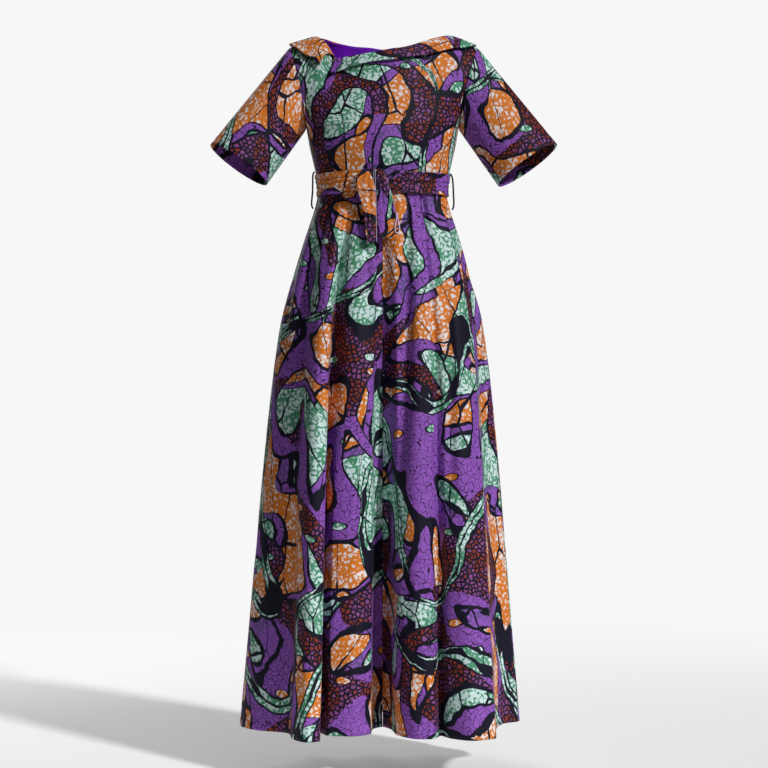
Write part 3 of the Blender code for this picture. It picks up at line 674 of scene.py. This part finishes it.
skirtCut = {
    "rows": 190, "perLine": 8, "rowGrowth": 1.12, "thick": 0.0009, "centre": (0, 0, -0.8),
    # angle on the waist, hem x, hem y, and how crisply the cloth is folded there
    "lines": metres([
        (-90, -290, -20, 0), (-70, -256, -80, 0), (-54, -190, -116, 0.2), (-49, -177, -186, 0.5),
        (-41, -150, -224, 0), (-34, -123, -212, 0.4), (-30, -130, -100, 0.5),
        (-25, -109, -147, 0.7), (-14, -55, -155, 0), (-6, -24, -128, 0.6), (-3, -18, -66, 0.2),
        (0, 0, -44, 0), (4, 16, -70, 0.2), (10, 29, -142, 0.5), (20, 66, -187, 0),
        (30, 102, -184, 0.4), (34, 115, -148, 0.3), (38, 132, -178, 0.5), (51, 174, -206, 0),
        (65, 221, -180, 0.5), (70, 227, -80, 0.2), (80, 246, -4, 0), (90, 281, 30, 0),
        (103, 264, 96, 0), (113, 216, 116, 0.2), (122, 196, 176, 0.3), (132, 154, 204, 0),
        (140, 124, 168, 0.3), (149, 98, 190, 0.3), (160, 62, 216, 0), (170, 26, 196, 0.3),
        (180, 2, 150, 0), (190, -24, 190, 0.3), (201, -64, 214, 0), (211, -100, 188, 0.3),
        (220, -122, 150, 0.3), (230, -154, 200, 0), (241, -198, 178, 0.3), (250, -222, 112, 0.2),
        (259, -266, 70, 0), (270, -290, -20, 0)], 0, 3),
    "crispBy": 0.35,  # share of the fall where the folds are fully crisp
    # gathers under the waist: depth and reach, their spread, half width, slant and spacing
    "gather": 0.0062, "gatherDepth": (0.4, 1.1), "gatherReach": 0.13, "reachSpread": (0.45, 1.7),
    "gatherWidth": (0.0034, 0.012), "plainWidth": 0.007, "slant": (-0.04, 0.04),
    "spacing": (1.6, 4.2), "spread": 1.35, "narrowing": 2.2, "ends": (0.02, 0.98),
    "atSeam": 0.25, "fullDepth": (0.01, 0.03),
    # long soft ripples: number, and the ranges of place, length, width, angle and depth
    "ripples": 9, "rippleAt": (0.25, 0.95), "rippleLength": (0.25, 0.6),
    "rippleWidth": (0.007, 0.014), "rippleTurn": (-7, 7), "rippleDepth": (0.0012, 0.0032),
    "hemAt": 0.022, "hemDepth": 0.0006, "hemReach": 0.003,
    # long folds from the waist down: height, x, half width and depth, in millimetres
    "folds": {
        "skirtFrontRight": [
            [(-290, -79, 7, 0), (-350, -82, 10, 7), (-470, -85, 13, 15), (-620, -91, 14, 20),
             (-720, -98, 14, 18), (-840, -105, 13, 9), (-980, -112, 12, 0)],
            [(-310, -128, 7, 0), (-400, -141, 10, 6), (-560, -152, 13, 13), (-740, -163, 13, 12),
             (-900, -174, 12, 0)],
            [(-290, -30, 6, 0), (-340, -31, 7, 5), (-500, -30, 10, 6), (-660, -28, 12, 3),
             (-800, -26, 12, 0)],
        ],
        "skirtFrontLeft": [
            [(-290, 50, 6, 0), (-330, 50, 9, 8), (-460, 48, 13, 16), (-620, 47, 14, 20),
             (-740, 44, 14, 17), (-860, 36, 13, 9), (-1000, 28, 12, 0)],
            [(-290, 83, 5, 0), (-320, 83, 7, 9), (-380, 85, 9, 8), (-470, 90, 10, 0)],
            [(-340, 118, 6, 0), (-450, 127, 8, 5), (-620, 134, 9, 7), (-800, 136, 9, 6),
             (-950, 136, 9, 0)],
            [(-380, 158, 8, 0), (-550, 176, 12, 8), (-780, 196, 13, 8), (-1000, 214, 12, 0)],
        ],
        "skirtBackLeft": [
            [(-290, 44, 6, 0), (-360, 48, 10, 9), (-550, 57, 14, 15), (-750, 68, 14, 11),
             (-950, 78, 13, 0)],
            [(-300, 95, 6, 0), (-400, 105, 10, 8), (-620, 122, 13, 12), (-820, 136, 13, 0)],
        ],
        "skirtBackRight": [
            [(-290, -36, 6, 0), (-350, -39, 10, 8), (-580, -50, 14, 16), (-800, -62, 14, 9),
             (-980, -70, 13, 0)],
            [(-300, -88, 6, 0), (-420, -101, 11, 9), (-600, -116, 13, 11), (-840, -134, 13, 0)],
        ],
    },
    "layout": {"skirtFrontRight": (-2, (5.81, 1.23)), "skirtFrontLeft": (10, (6.72, 2.04)),
               "skirtBackLeft": (5, (2.75, 4.4)), "skirtBackRight": (-3, (3.95, 5.7))},
}


def skirtPlaces(first, last):
    cut, lines = skirtCut, skirtCut["lines"][:-1]
    t = np.linspace(0, 1, cut["rows"] + 1) ** cut["rowGrowth"]
    z = body["waist"] + (body["hem"] - body["waist"]) * t
    fall = np.clip((body["foldsStart"] - z) / (body["foldsStart"] - body["hem"]), 0, None)
    degrees, crisp = lines[:, 0], lines[:, 3]
    leaves = np.zeros((len(lines), 3))
    leaves[:, :2] = lines[:, 1:3] - ringPoint(np.full(len(lines), body["hem"]), degrees)[:, :2]
    points = (ringPoint(z[:, None], degrees[None, :])
              + leaves[None] * (fall ** body["foldGrowth"])[:, None, None])
    ahead = np.roll(points, -1, axis=1) - points
    knots = np.sqrt(np.linalg.norm(ahead, axis=2))[..., None]
    before = np.roll(knots, 1, axis=1)
    speed = (ahead / knots * before + np.roll(ahead / knots, 1, axis=1) * knots) / (before + knots)
    speed = speed * (1 - crisp[None, :, None] * ease(fall, 0.0, cut["crispBy"])[:, None, None])
    columns = []
    for line in range(first, last):
        i, j = line, (line + 1) % len(lines)
        for s in np.arange(cut["perLine"]) / cut["perLine"]:
            columns.append(cubic(s, points[:, i], points[:, j], knots[:, i] * speed[:, i],
                                 knots[:, i] * speed[:, j]))
    columns.append(points[:, last % len(lines)])
    return np.stack(columns, axis=1)


def gathers(u, v, draw):
    # small folds under the waist, closer and deeper in some places than in others
    cut = skirtCut
    lift = np.zeros(u.shape)
    width = u[0, -1] - u[0, 0]
    share = (u - u[:, :1]) / (u[:, -1:] - u[:, :1])
    fade = cut["atSeam"] + (1 - cut["atSeam"]) * ease(v, *cut["fullDepth"])
    at, end = cut["ends"]
    while at < end:
        wide = draw.uniform(*cut["gatherWidth"])
        reach = cut["gatherReach"] * draw.uniform(*cut["reachSpread"])
        deep = (cut["gather"] * draw.uniform(*cut["gatherDepth"])
                * math.sqrt(wide / cut["plainWidth"]))
        centre = at + draw.uniform(*cut["slant"]) * v
        aside = (share - centre) * width * (1 + cut["narrowing"] * v)
        lift -= deep * bell(aside, wide) * bell(v, reach) * fade
        at += draw.uniform(*cut["spacing"]) * wide / width * cut["spread"]
    return lift


def ripples(u, v, draw):
    # long soft ripples, uneven in length, depth and place
    cut = skirtCut
    lift = np.zeros(u.shape)
    for _ in range(cut["ripples"]):
        cu = draw.uniform(u[-1, 0], u[-1, -1]) * 0.9
        cv = draw.uniform(*cut["rippleAt"])
        sizes = [draw.uniform(*cut[key])
                 for key in ("rippleLength", "rippleWidth", "rippleTurn", "rippleDepth")]
        lift += creaseDepth(u, v, [(cu * (0.35 + 0.6 * cv), cv, *sizes)])
    return lift


def longFolds(places, name):
    # how far the cloth is pressed in along the folds that are listed for a piece
    fold = np.zeros(places.shape[:2])
    for rows in skirtCut["folds"][name]:
        table = metres(rows)
        height = np.clip(places[..., 2], table[-1, 0], table[0, 0])
        x, wide, deep = np.moveaxis(curve(table, height), -1, 0)
        fold += np.maximum(deep, 0) * bell(places[..., 0] - x, wide)
    return fold


def skirtPiece(name, node, first, last, seed):
    s = skirtCut
    places = skirtPlaces(first, last)
    normals = clothNormals(places, False, np.array(s["centre"]))
    u, v = clothMeasure(places)
    draw = np.random.default_rng(seed)
    lift = gathers(u, v, draw) + ripples(u, v, draw) + seamDip(places, ("left", "right"))
    lift -= s["hemDepth"] * bell(v[-1:] - v - s["hemAt"], s["hemReach"])
    fold = longFolds(places, name)
    places = places + normals * lift[..., None]
    places[..., 1] += fold * (1 if "Front" in name else -1)
    piece = clothPiece(name, node, places, s["layout"][name], s["thick"], s["centre"])


for name, node, first, last, seed, cut in (
        ("skirtFrontRight", "skirt_front_right", 0, 11, 11, (0.61, 1.11, 0.48)),
        ("skirtFrontLeft", "skirt_front_left", 11, 22, 12, (0.6, 1.11, 0.47)),
        ("skirtBackLeft", "skirt_back_left", 22, 31, 13, (0.46, 1.11, 0.38)),
        ("skirtBackRight", "skirt_back_right", 31, 40, 14, (0.5, 1.11, 0.42))):
    skirtPiece(name, node, first, last, seed)
print("stage: skirt made")


# collar and facing

collarCut = {
    "double": 0.0022, "lift": 0.004, "edgeLift": 0.0078, "thick": 0.0021, "centre": (0, 0, -0.06),
    "endGap": 0.004, "bandStations": 74, "lapelStations": 36, "backStations": 60, "steps": 34,
    "aside": 0.02,  # share of the neckline to each side from which its run is read
    # where the cloth turns at the fold: way into the neck and out of the cloth, in millimetres;
    # at the back the facing's violet comes up to the fold
    "roll": {"front": [(1.92, -2), (2.58, 0.8), (1.92, 4)],
             "back": [(3.57, 0.4), (3.46, 2.2), (2.8, 4)]},
    "across": 9,  # places from the fold to the free edge
    # share of the fold, then share and height share of the free edge
    "lapel": np.array([(-0.72, -1.0, 1.0), (-0.66, -0.92, 0.91), (-0.6, -0.82, 0.8),
                       (-0.55, -0.71, 0.735), (-0.504, -0.61, 0.69)]),
    "band": np.array([(-0.504, -0.535, 0.755), (-0.36, -0.37, 0.82), (-0.12, -0.12, 0.865),
                      (0.12, 0.12, 0.86), (0.36, 0.39, 0.85), (0.48, 0.55, 0.83),
                      (0.6, 0.77, 0.85), (0.66, 0.9, 0.91), (0.72, 1.0, 1.0)]),
    "back": np.array([(0.0, 0.008, 0.75), (0.24, 0.27, 0.76), (0.48, 0.6, 0.79),
                      (0.6, 0.8, 0.84), (0.66, 0.92, 0.92), (0.72, 1.0, 1.0)]),
    "layout": {-1: (-102, (5.39, 0.13)), 1: (30, (4.87, 0.79))},
}


def neckFrame(side, fold):
    # the fold line's place, the outward normal, and the way into the neck opening
    top = upperEdge(side, np.array(fold))
    step = collarCut["aside"]
    if abs(abs(fold) - body["neckShare"]) < step:
        inner = math.copysign(body["neckShare"] - step, fold)
        along = upperEdge("front", np.array(inner)) - upperEdge("back", np.array(inner))
        normal = chestNormal("front", fold, 1.0) + chestNormal("back", fold, 1.0)
    else:
        along = upperEdge(side, np.array(fold + step)) - upperEdge(side, np.array(fold - step))
        normal = chestNormal(side, fold, 1.0)
    normal = unit(normal)
    into = unit(np.cross(along, normal))
    middle = np.array((0, 0, top[2] + 0.06))
    return top, normal, into * np.sign(into.dot(middle - top))


def readAlong(line, marks):
    # a line's values at distances from its start
    far = distances(line)
    return np.stack([np.interp(marks, far, line[:, k]) for k in range(3)], axis=-1)


def roundedLine(points, count):
    # a smooth line that keeps its ends and rounds the corners between
    points = np.asarray(points)
    for _ in range(3):
        cut = np.empty((2 * len(points) - 2, 3))
        cut[0::2] = points[:-1] * 0.75 + points[1:] * 0.25
        cut[1::2] = points[:-1] * 0.25 + points[1:] * 0.75
        points = np.concatenate([points[:1], cut, points[-1:]])
    return readAlong(points, np.linspace(0, distances(points)[-1], count))


def collarPiece(name, node, table, sign):
    c = collarCut
    if sign > 0:
        front = np.linspace(table[0, 0], table[-1, 0], c["bandStations"])
        front = front[front > table[0, 0] + c["endGap"] * 0.5]
    else:
        front = np.linspace(table[-1, 0] - c["endGap"], table[0, 0], c["lapelStations"])
    stations = [("front", s, *curve(table, s)) for s in front]
    for s in np.linspace(body["neckShare"], c["endGap"], c["backStations"])[1:]:
        edge, drop = curve(c["back"], s)
        stations.append(("back", s * sign, edge * sign, drop))
    lines = []
    for side, fold, edge, drop in stations:
        top, normal, into = neckFrame(side, fold)
        line = [top + into * inwards + normal * out for inwards, out in metres(c["roll"][side])]
        for t in np.linspace(0, 1, c["across"])[1:]:
            share = fold + (edge - fold) * t
            height = 1 + (drop - 1) * t**2
            lift = c["lift"] + (c["edgeLift"] - c["lift"]) * t**2
            line.append(chestPoint(side, share, height)
                        + chestNormal(side, share, height) * (lift + c["double"]))
        lines.append(roundedLine(line, c["steps"]))
    places = np.array(lines)
    for _ in range(3):  # neighbouring stations are eased together, so the shoulder turns softly
        places[1:-1] = places[1:-1] * 0.5 + (places[:-2] + places[2:]) * 0.25
    return clothPiece(name, node, places, c["layout"][sign], c["thick"], c["centre"])


collarRight = collarPiece("collarRight", "collar_right", collarCut["lapel"], -1)
collarLeft = collarPiece("collarLeft", "collar_left", collarCut["band"], 1)

facingCut = {
    "columns": 60, "rows": 24, "heights": (0.62, 0.985), "off": 0.0024, "thick": 0.0006,
    # how the cloth rolls up to the collar's fold: way inside the neckline and above it, in
    # millimetres
    "fold": [(2.5, 0.8), (2.1, 2.2), (1.2, 3.4), (0.1, 3.8)],
}


def facingPiece(name, node, low, high):
    f = facingCut
    shares = np.linspace(low, high, f["columns"])
    heights = np.linspace(*f["heights"], f["rows"])[:, None]
    places = (chestPoint("back", shares[None, :], heights)
              - chestNormal("back", shares + 0 * heights, heights + 0 * shares) * f["off"])
    frames = [neckFrame("back", share) for share in shares]
    fold = [[top - normal * inwards + into * upwards for top, normal, into in frames]
            for inwards, upwards in metres(f["fold"])]
    places = np.concatenate([places, np.array(fold)])
    piece = clothPiece(name, node, places, (0, (0, 0)), f["thick"], collarCut["centre"],
                       look=violet, slotName="violet_cotton")


facingPiece("facingRight", "facing_right", -0.69, -0.004)
facingPiece("facingLeft", "facing_left", 0.004, 0.69)
print("stage: collar made")


# sash

sashCut = {
    "top": -0.262, "bottom": -0.305, "gap": 0.0012, "double": 0.0022, "columns": 420, "rows": 48,
    "thick": 0.0013, "puff": 0.0026, "topRise": 0.0038, "lowDrop": 0.0008, "least": -0.0014,
    "ridge": 0.3, "ridgeAt": 1.9, "wander": 0.03,  # of the folds that run into the knot
    "backFold": 0.0006, "backFoldWidth": 0.12,
    "knotAt": -9.0, "knotReach": 32, "knotX": -0.02, "knotHalf": (0.033, 0.0075, 0.0205),
    "knotGap": 0.0014, "knotRise": 0.0005, "squareness": 0.75, "knotFold": 0.001,
    # folds that run into the knot: side, height share there and far off, depth, width, reach
    "gathers": [(-1, 0.2, 0.04, 0.003, 0.05, 58), (-1, 0.37, 0.28, 0.004, 0.045, 80),
                (-1, 0.52, 0.56, 0.0034, 0.045, 50), (-1, 0.67, 0.8, 0.004, 0.05, 72),
                (-1, 0.82, 0.97, 0.0026, 0.045, 44), (1, 0.46, 0.55, 0.0044, 0.05, 95),
                (1, 0.26, 0.12, 0.0026, 0.045, 36), (1, 0.7, 0.86, 0.0026, 0.06, 42)],
    # the hanging ends, from over the knot to their tips: height, left x, right x, stand-off
    "tails": {
        "right": metres([
            (-257, -40, -14.2, 3), (-259, -41.5, -13.9, 10), (-264.5, -44, -13.6, 16.2),
            (-274, -47.8, -13.4, 20), (-286, -51.2, -13.2, 20.5), (-298, -50.5, -13, 18.8),
            (-308, -47.5, -12.8, 14.5), (-320, -43.5, -12.5, 10.5), (-342, -38.5, -12.2, 7.8),
            (-370, -35, -11.8, 6.2), (-404, -31.5, -11.2, 5.6)]),
        "left": metres([
            (-257, -11.8, 1, 3), (-259, -11.6, 1.6, 9.5), (-264.5, -11.6, 3.2, 15.2),
            (-274, -11.7, 6.4, 19), (-286, -11.8, 10.6, 19.5), (-298, -11.6, 15.2, 18.2),
            (-308, -11.2, 18.6, 15), (-320, -10.6, 21.6, 11.8), (-345, -10, 26.6, 9.4),
            (-362, -9, 29.8, 8.8), (-382, -8, 32, 8.6), (-394, -7, 27, 8.5)]),
    },
    "tailRows": 110, "tailColumns": 44, "tailThick": 0.0012, "turnedBy": 0.012,
    # folds down each end: share of its width, depth, width
    "tailFolds": {"right": [(0.1, 0.0016, 0.09), (0.4, 0.0026, 0.12), (0.74, 0.002, 0.1)],
                  "left": [(0.16, 0.0016, 0.1), (0.52, 0.0022, 0.13), (0.86, 0.0016, 0.09)]},
    "layout": {"band": (23, (4.0, 2.45)), "knot": (20, (7.35, 1.15)),
               "right": (78, (4.88, 1.72)), "left": (-56, (3.73, 2.49))},
}


def sashBandPiece():
    s = sashCut
    turns = np.linspace(-180, 180, s["columns"] + 1)
    share = np.linspace(0, 1, s["rows"])[:, None]
    near = bell(turns - s["knotAt"], s["knotReach"])[None, :]
    z = s["bottom"] + (s["top"] - s["bottom"]) * share
    places = ringPoint(z, turns[None, :], s["gap"] + s["double"])
    out = unit(places * (1, 1, 0))
    lift = s["puff"] * np.sin(math.pi * share) ** 0.7 * (0.55 + 0.45 * near)
    for side, atKnot, far, deep, wide, reach in s["gathers"]:
        away = (turns - s["knotAt"])[None, :] * side
        run = np.exp(-np.clip(away, 0, None) / reach) * ease(away, -6, 4)
        line = far + (atKnot - far) * np.exp(-np.clip(away, 0, None) / (0.6 * reach))
        line = line + s["wander"] * np.sin(away / 19 + far * 17) * (1 - run)
        uneven = 0.8 + 0.2 * np.sin(away / 11 + far * 29)
        lift = lift - deep * run * uneven * bell(share - line, wide)
        lift = lift + s["ridge"] * deep * run * bell(share - line - s["ridgeAt"] * wide, wide)
    behind = np.sin(turns / 15)[None, :] * bell(share - 0.5, s["backFoldWidth"])
    lift = np.maximum(lift - s["backFold"] * (1 + behind), s["least"])
    lift[:, -1] = lift[:, 0]
    places = places + out * lift[..., None]
    places[..., 2] += near * (s["topRise"] * share**2 - s["lowDrop"] * (1 - share) ** 2)
    places[:, -1] = places[:, 0]
    return clothPiece("sashBand", "sash_band", places, s["layout"]["band"], s["thick"],
                      (0, 0, (s["top"] + s["bottom"]) / 2), wrap=True)


def sashKnotPiece():
    s = sashCut
    middle = (s["top"] + s["bottom"]) / 2
    front = curve(body["sections"], middle)[1]
    halfWide, halfDeep, halfTall = s["knotHalf"]
    bm = bmesh.new()
    bmesh.ops.create_uvsphere(bm, u_segments=128, v_segments=72, radius=1)
    layer = bm.loops.layers.uv.new("cloth")
    for vert in bm.verts:
        x, y, z = (math.copysign(abs(value) ** s["squareness"], value) for value in vert.co)
        # upright folds, tighter where the ends come out
        fold = math.sin(10.5 * x + 1.1 * z + 1.2 * math.sin(2.1 * x + 0.6))
        fold = math.copysign(abs(fold) ** 0.7, fold)
        vert.co = (x * halfWide * (1 - 0.05 * z), y * (halfDeep + s["knotFold"] * fold),
                   z * halfTall * (1 - 0.04 * abs(math.sin(5 * x))))
    for face in bm.faces:
        for loop in face.loops:
            x, y, z = loop.vert.co
            loop[layer].uv = layOn(x + 0.4 * y, z, *s["layout"]["knot"])
    reach = front + s["gap"] + s["double"] + s["knotGap"] + halfDeep
    bmesh.ops.translate(bm, verts=bm.verts, vec=(s["knotX"], -reach, middle + s["knotRise"]))
    dressed(shaped("sashKnot", bm, printed), "printed_cotton", "sash_knot")


def tailPlace(which, z, share):
    # a place on the outside of a hanging end
    s = sashCut
    left, right, off = np.moveaxis(curve(s["tails"][which], z), -1, 0)
    top, low = s["tails"][which][0, 0], s["tails"][which][-1, 0]
    wave = sum(deep * bell(share - at - 0.05 * np.sin(z * 55 + at * 9), wide)
               for at, deep, wide in s["tailFolds"][which])
    wave = wave * (1 - 0.4 * (z - top) / (low - top)) * ease(z, top, top - s["turnedBy"])
    hips = curve(body["sections"], z)[..., 1]
    x, y = left + (right - left) * share, -(hips + off) - s["double"] - wave
    return np.stack([x, y, z], axis=-1)


def sashTailPiece(name, node, which):
    s = sashCut
    high, low = s["tails"][which][[0, -1], 0]
    z = high + (low - high) * np.linspace(0, 1, s["tailRows"]) ** 1.25
    z, share = np.broadcast_arrays(z[:, None], np.linspace(0, 1, s["tailColumns"])[None, :])
    places = tailPlace(which, z, share)
    return clothPiece(name, node, places, s["layout"][which], s["tailThick"], (0, 0, -0.35))


sashBand = sashBandPiece()
sashKnotPiece()
tailRight = sashTailPiece("sashTailRight", "sash_tail_right", "right")
tailLeft = sashTailPiece("sashTailLeft", "sash_tail_left", "left")
print("stage: sash made")


# thread loops, edgings and stitches

def tube(name, points, radius, look, slotName, *node):
    # a round thread along a line of points
    line = bpy.data.curves.new(name, "CURVE")
    line.dimensions = "3D"
    line.bevel_depth = radius
    line.bevel_resolution = 3
    line.use_fill_caps = True
    spline = line.splines.new("POLY")
    spline.points.add(len(points) - 1)
    for point, place in zip(spline.points, points):
        point.co = (*place, 1)
    drawn = placed(name, line)
    bpy.context.view_layer.update()
    mesh = bpy.data.meshes.new_from_object(
        drawn.evaluated_get(bpy.context.evaluated_depsgraph_get()))
    bm = bmesh.new()
    bm.from_mesh(mesh)
    bmesh.ops.remove_doubles(bm, verts=bm.verts, dist=1e-6)
    bpy.data.objects.remove(drawn, do_unlink=True)
    bpy.data.meshes.remove(mesh)
    dressed(shaped(name, bm, look), slotName, *node)


loopCut = {
    "radius": 0.0018,
    # distance from the middle and height, in millimetres
    "right": [(138.8, -254.5), (141.4, -259), (142.2, -268), (142.4, -281), (142.7, -295),
              (143.8, -308), (144.6, -318), (144, -325), (141.6, -330)],
    "left": [(137.8, -258.5), (140.8, -262.5), (142.8, -270), (144, -282), (144.6, -297),
             (145.2, -310), (145.4, -320), (144.6, -327), (142, -332.5)],
}


def finerLine(points, count):
    # a smooth line through a few points
    points = np.asarray(points, float)
    far = distances(points)
    return curve(np.column_stack([far, points]), np.linspace(0, far[-1], count))


for side, sign in (("right", -1), ("left", 1)):
    route = [(sign * far, 0.0, z) for far, z in metres(loopCut[side])]
    tube("threadLoop" + side.title(), finerLine(route, 40), loopCut["radius"], blackThread,
         "black_thread", "thread_loop_" + side)


edgingCut = {
    # end, share of its width, from, to, radius
    "lines": [("right", 0.985, -0.2585, -0.403, 0.00048), ("right", 0.885, -0.259, -0.336, 0.0004)],
    "diagonal": ("left", 0.985, -0.264, -0.347),
    # a thread loop at the foot of the diagonal edge: x and height, in millimetres
    "loop": [(27.2, -345.5), (28, -354), (26.2, -366), (24.8, -376), (25.6, -383), (29, -386.2),
             (32.5, -383.5), (33.6, -376.5), (32.2, -366), (30.2, -354.5), (29.8, -345.8)],
    "loopRadius": 0.0011, "loopOff": 0.0016, "loopShare": 0.9, "points": 90,
}


def edgeLine(which, share, high, low, off):
    z = np.linspace(high, low, edgingCut["points"])
    return tailPlace(which, z, share + 0 * z) - (0, off, 0)


for number, (which, share, high, low, radius) in enumerate(edgingCut["lines"]):
    tube("edging%d" % number, edgeLine(which, share, high, low, 0.0002), radius, lilacThread,
         "printed_cotton")
route = np.insert(metres(edgingCut["loop"]), 1, 0.0, axis=1)
route[:, 1] = (tailPlace("left", route[:, 2], edgingCut["loopShare"] + 0 * route[:, 2])[:, 1]
               - edgingCut["loopOff"])
tube("tailLoop", finerLine(route, 60), edgingCut["loopRadius"], lilacThread, "printed_cotton")


def stitchRow(name, line, normals, look, slotName, pitch=0.0042, length=0.0026, radius=0.00028,
              lift=0.0002):
    # a row of small sewn stitches along a line on the cloth
    far = distances(line)
    bm = bmesh.new()
    for k in range(int(far[-1] / pitch)):
        at = (k + 0.5) * pitch
        a, b = readAlong(line, [at - length / 2, at + length / 2])
        out = unit(np.array([np.interp(at, far, normals[:, i]) for i in range(3)]))
        way = unit(b - a)
        side = np.cross(way, out)
        made = bmesh.ops.create_uvsphere(bm, u_segments=6, v_segments=4, radius=1)
        middle = (a + b) / 2 + out * lift
        for vert in made["verts"]:
            x, y, z = vert.co
            vert.co = middle + way * z * length / 2 + side * x * radius + out * y * radius
    dressed(shaped(name, bm, look), slotName)


def gridLine(places, fromLast):
    # the line that lies at a distance from the grid's last row
    down = np.linalg.norm(np.diff(places, axis=0), axis=2)
    away = np.cumsum(down[::-1], axis=0)[::-1]
    rows = np.argmin(np.abs(away - fromLast), axis=0)
    return places[rows, np.arange(len(rows))]


for title, places in sleeves.items():
    line = gridLine(places, sleeveCut["hemAt"])
    stitchRow("cuffStitches" + title, line, unit(line - line[:-1].mean(axis=0)), navyThread,
              "black_thread")
line = edgeLine(*edgingCut["diagonal"], 0.0003)
stitchRow("diagonalStitches", line, np.tile((0.0, -1.0, 0.0), (len(line), 1)), lilacThread,
          "printed_cotton", pitch=0.0026, length=0.0021, radius=0.00042)
print("stage: small sewing made")


# studio

studio = {
    "pixel": 0.00204, "pixels": 768, "sensor": 36, "distance": 4.6, "height": -0.62,
    "middlePx": 382.5, "originPy": 47.0,
    "floor": -1.47, "halfFloor": 14, "glow": 0.26, "fade": (0.7, 2.8),
    "white": (1, 1, 1, 1), "floorColour": (0.9, 0.9, 0.9, 1), "world": 0.065, "backdrop": 0.93,
    "key": {"from": (2.5, -2.7, 2.3), "strength": 2.55, "softness": 5},
    # name, place, aim, size, power
    "lights": [
        ("front", (1.0, -3.2, 0.8), (0, 0, -0.6), (1.2, 1.2), 7),
        ("rim", (-1.4, 2.6, 0.8), (0, 0, -0.7), (1.4, 2.2), 34),
    ],
}


def lampAt(name, light, place, target):
    lamp = placed(name, light)
    lamp.location = place
    lamp.rotation_euler = (Vector(target) - Vector(place)).to_track_quat("-Z", "Y").to_euler()


def makeCamera():
    s = studio
    camera = bpy.data.cameras.new("camera")
    camera.sensor_width = s["sensor"]
    camera.lens = s["sensor"] * s["distance"] / (s["pixels"] * s["pixel"])
    camera.shift_x = 0.5 - s["middlePx"] / s["pixels"]
    camera.shift_y = (s["originPy"] - s["height"] / s["pixel"]) / s["pixels"] - 0.5
    camera.clip_end = 50
    view = placed("camera", camera)
    view.location = (0, -s["distance"], s["height"])
    view.rotation_euler = (math.pi / 2, 0, 0)
    bpy.context.scene.camera = view
    bpy.context.scene.view_settings.view_transform = "Standard"


def makeLights():
    s = studio
    sun = bpy.data.lights.new("key", "SUN")
    sun.energy = s["key"]["strength"]
    sun.angle = math.radians(s["key"]["softness"])
    lampAt("key", sun, s["key"]["from"], (0, 0, 0))
    for name, place, target, size, power in s["lights"]:
        light = bpy.data.lights.new(name, "AREA")
        light.shape = "RECTANGLE"
        light.size, light.size_y = size
        light.energy = power
        lampAt(name, light, place, target)


def makeWorld():
    # soft light all round, and a paler backdrop for the camera
    world = bpy.data.worlds.new("studio")
    world.use_nodes = True
    tree = world.node_tree
    soft, pale = tree.nodes["Background"], tree.nodes.new("ShaderNodeBackground")
    for node, strength in ((soft, studio["world"]), (pale, studio["backdrop"])):
        node.inputs["Color"].default_value = studio["white"]
        node.inputs["Strength"].default_value = strength
    seen = tree.nodes.new("ShaderNodeLightPath")
    both = tree.nodes.new("ShaderNodeMixShader")
    tree.links.new(seen.outputs["Is Camera Ray"], both.inputs[0])
    tree.links.new(soft.outputs[0], both.inputs[1])
    tree.links.new(pale.outputs[0], both.inputs[2])
    tree.links.new(both.outputs[0], tree.nodes["World Output"].inputs["Surface"])
    bpy.context.scene.world = world


def makeFloor():
    # a floor that fades out into the backdrop
    s = studio
    look = Look("floorPaint", 0.7)
    look.shader.inputs["Base Color"].default_value = s["floorColour"]
    look.shader.inputs["Emission Color"].default_value = s["floorColour"]
    look.shader.inputs["Emission Strength"].default_value = s["glow"]
    place = look.add("ShaderNodeTexCoord", output="Object")
    away = look.add("ShaderNodeVectorMath", {"operation": "LENGTH"}, {0: place}, output=1)
    look.feed("Alpha", 1 - look.between(away, *s["fade"]))
    bm = bmesh.new()
    bmesh.ops.create_grid(bm, x_segments=8, y_segments=8, size=s["halfFloor"])
    floor = shaped("floor", bm, look.material)
    floor.location = (0, 0, s["floor"])


makeCamera()
makeLights()
makeWorld()
makeFloor()
print("stage: studio ready")
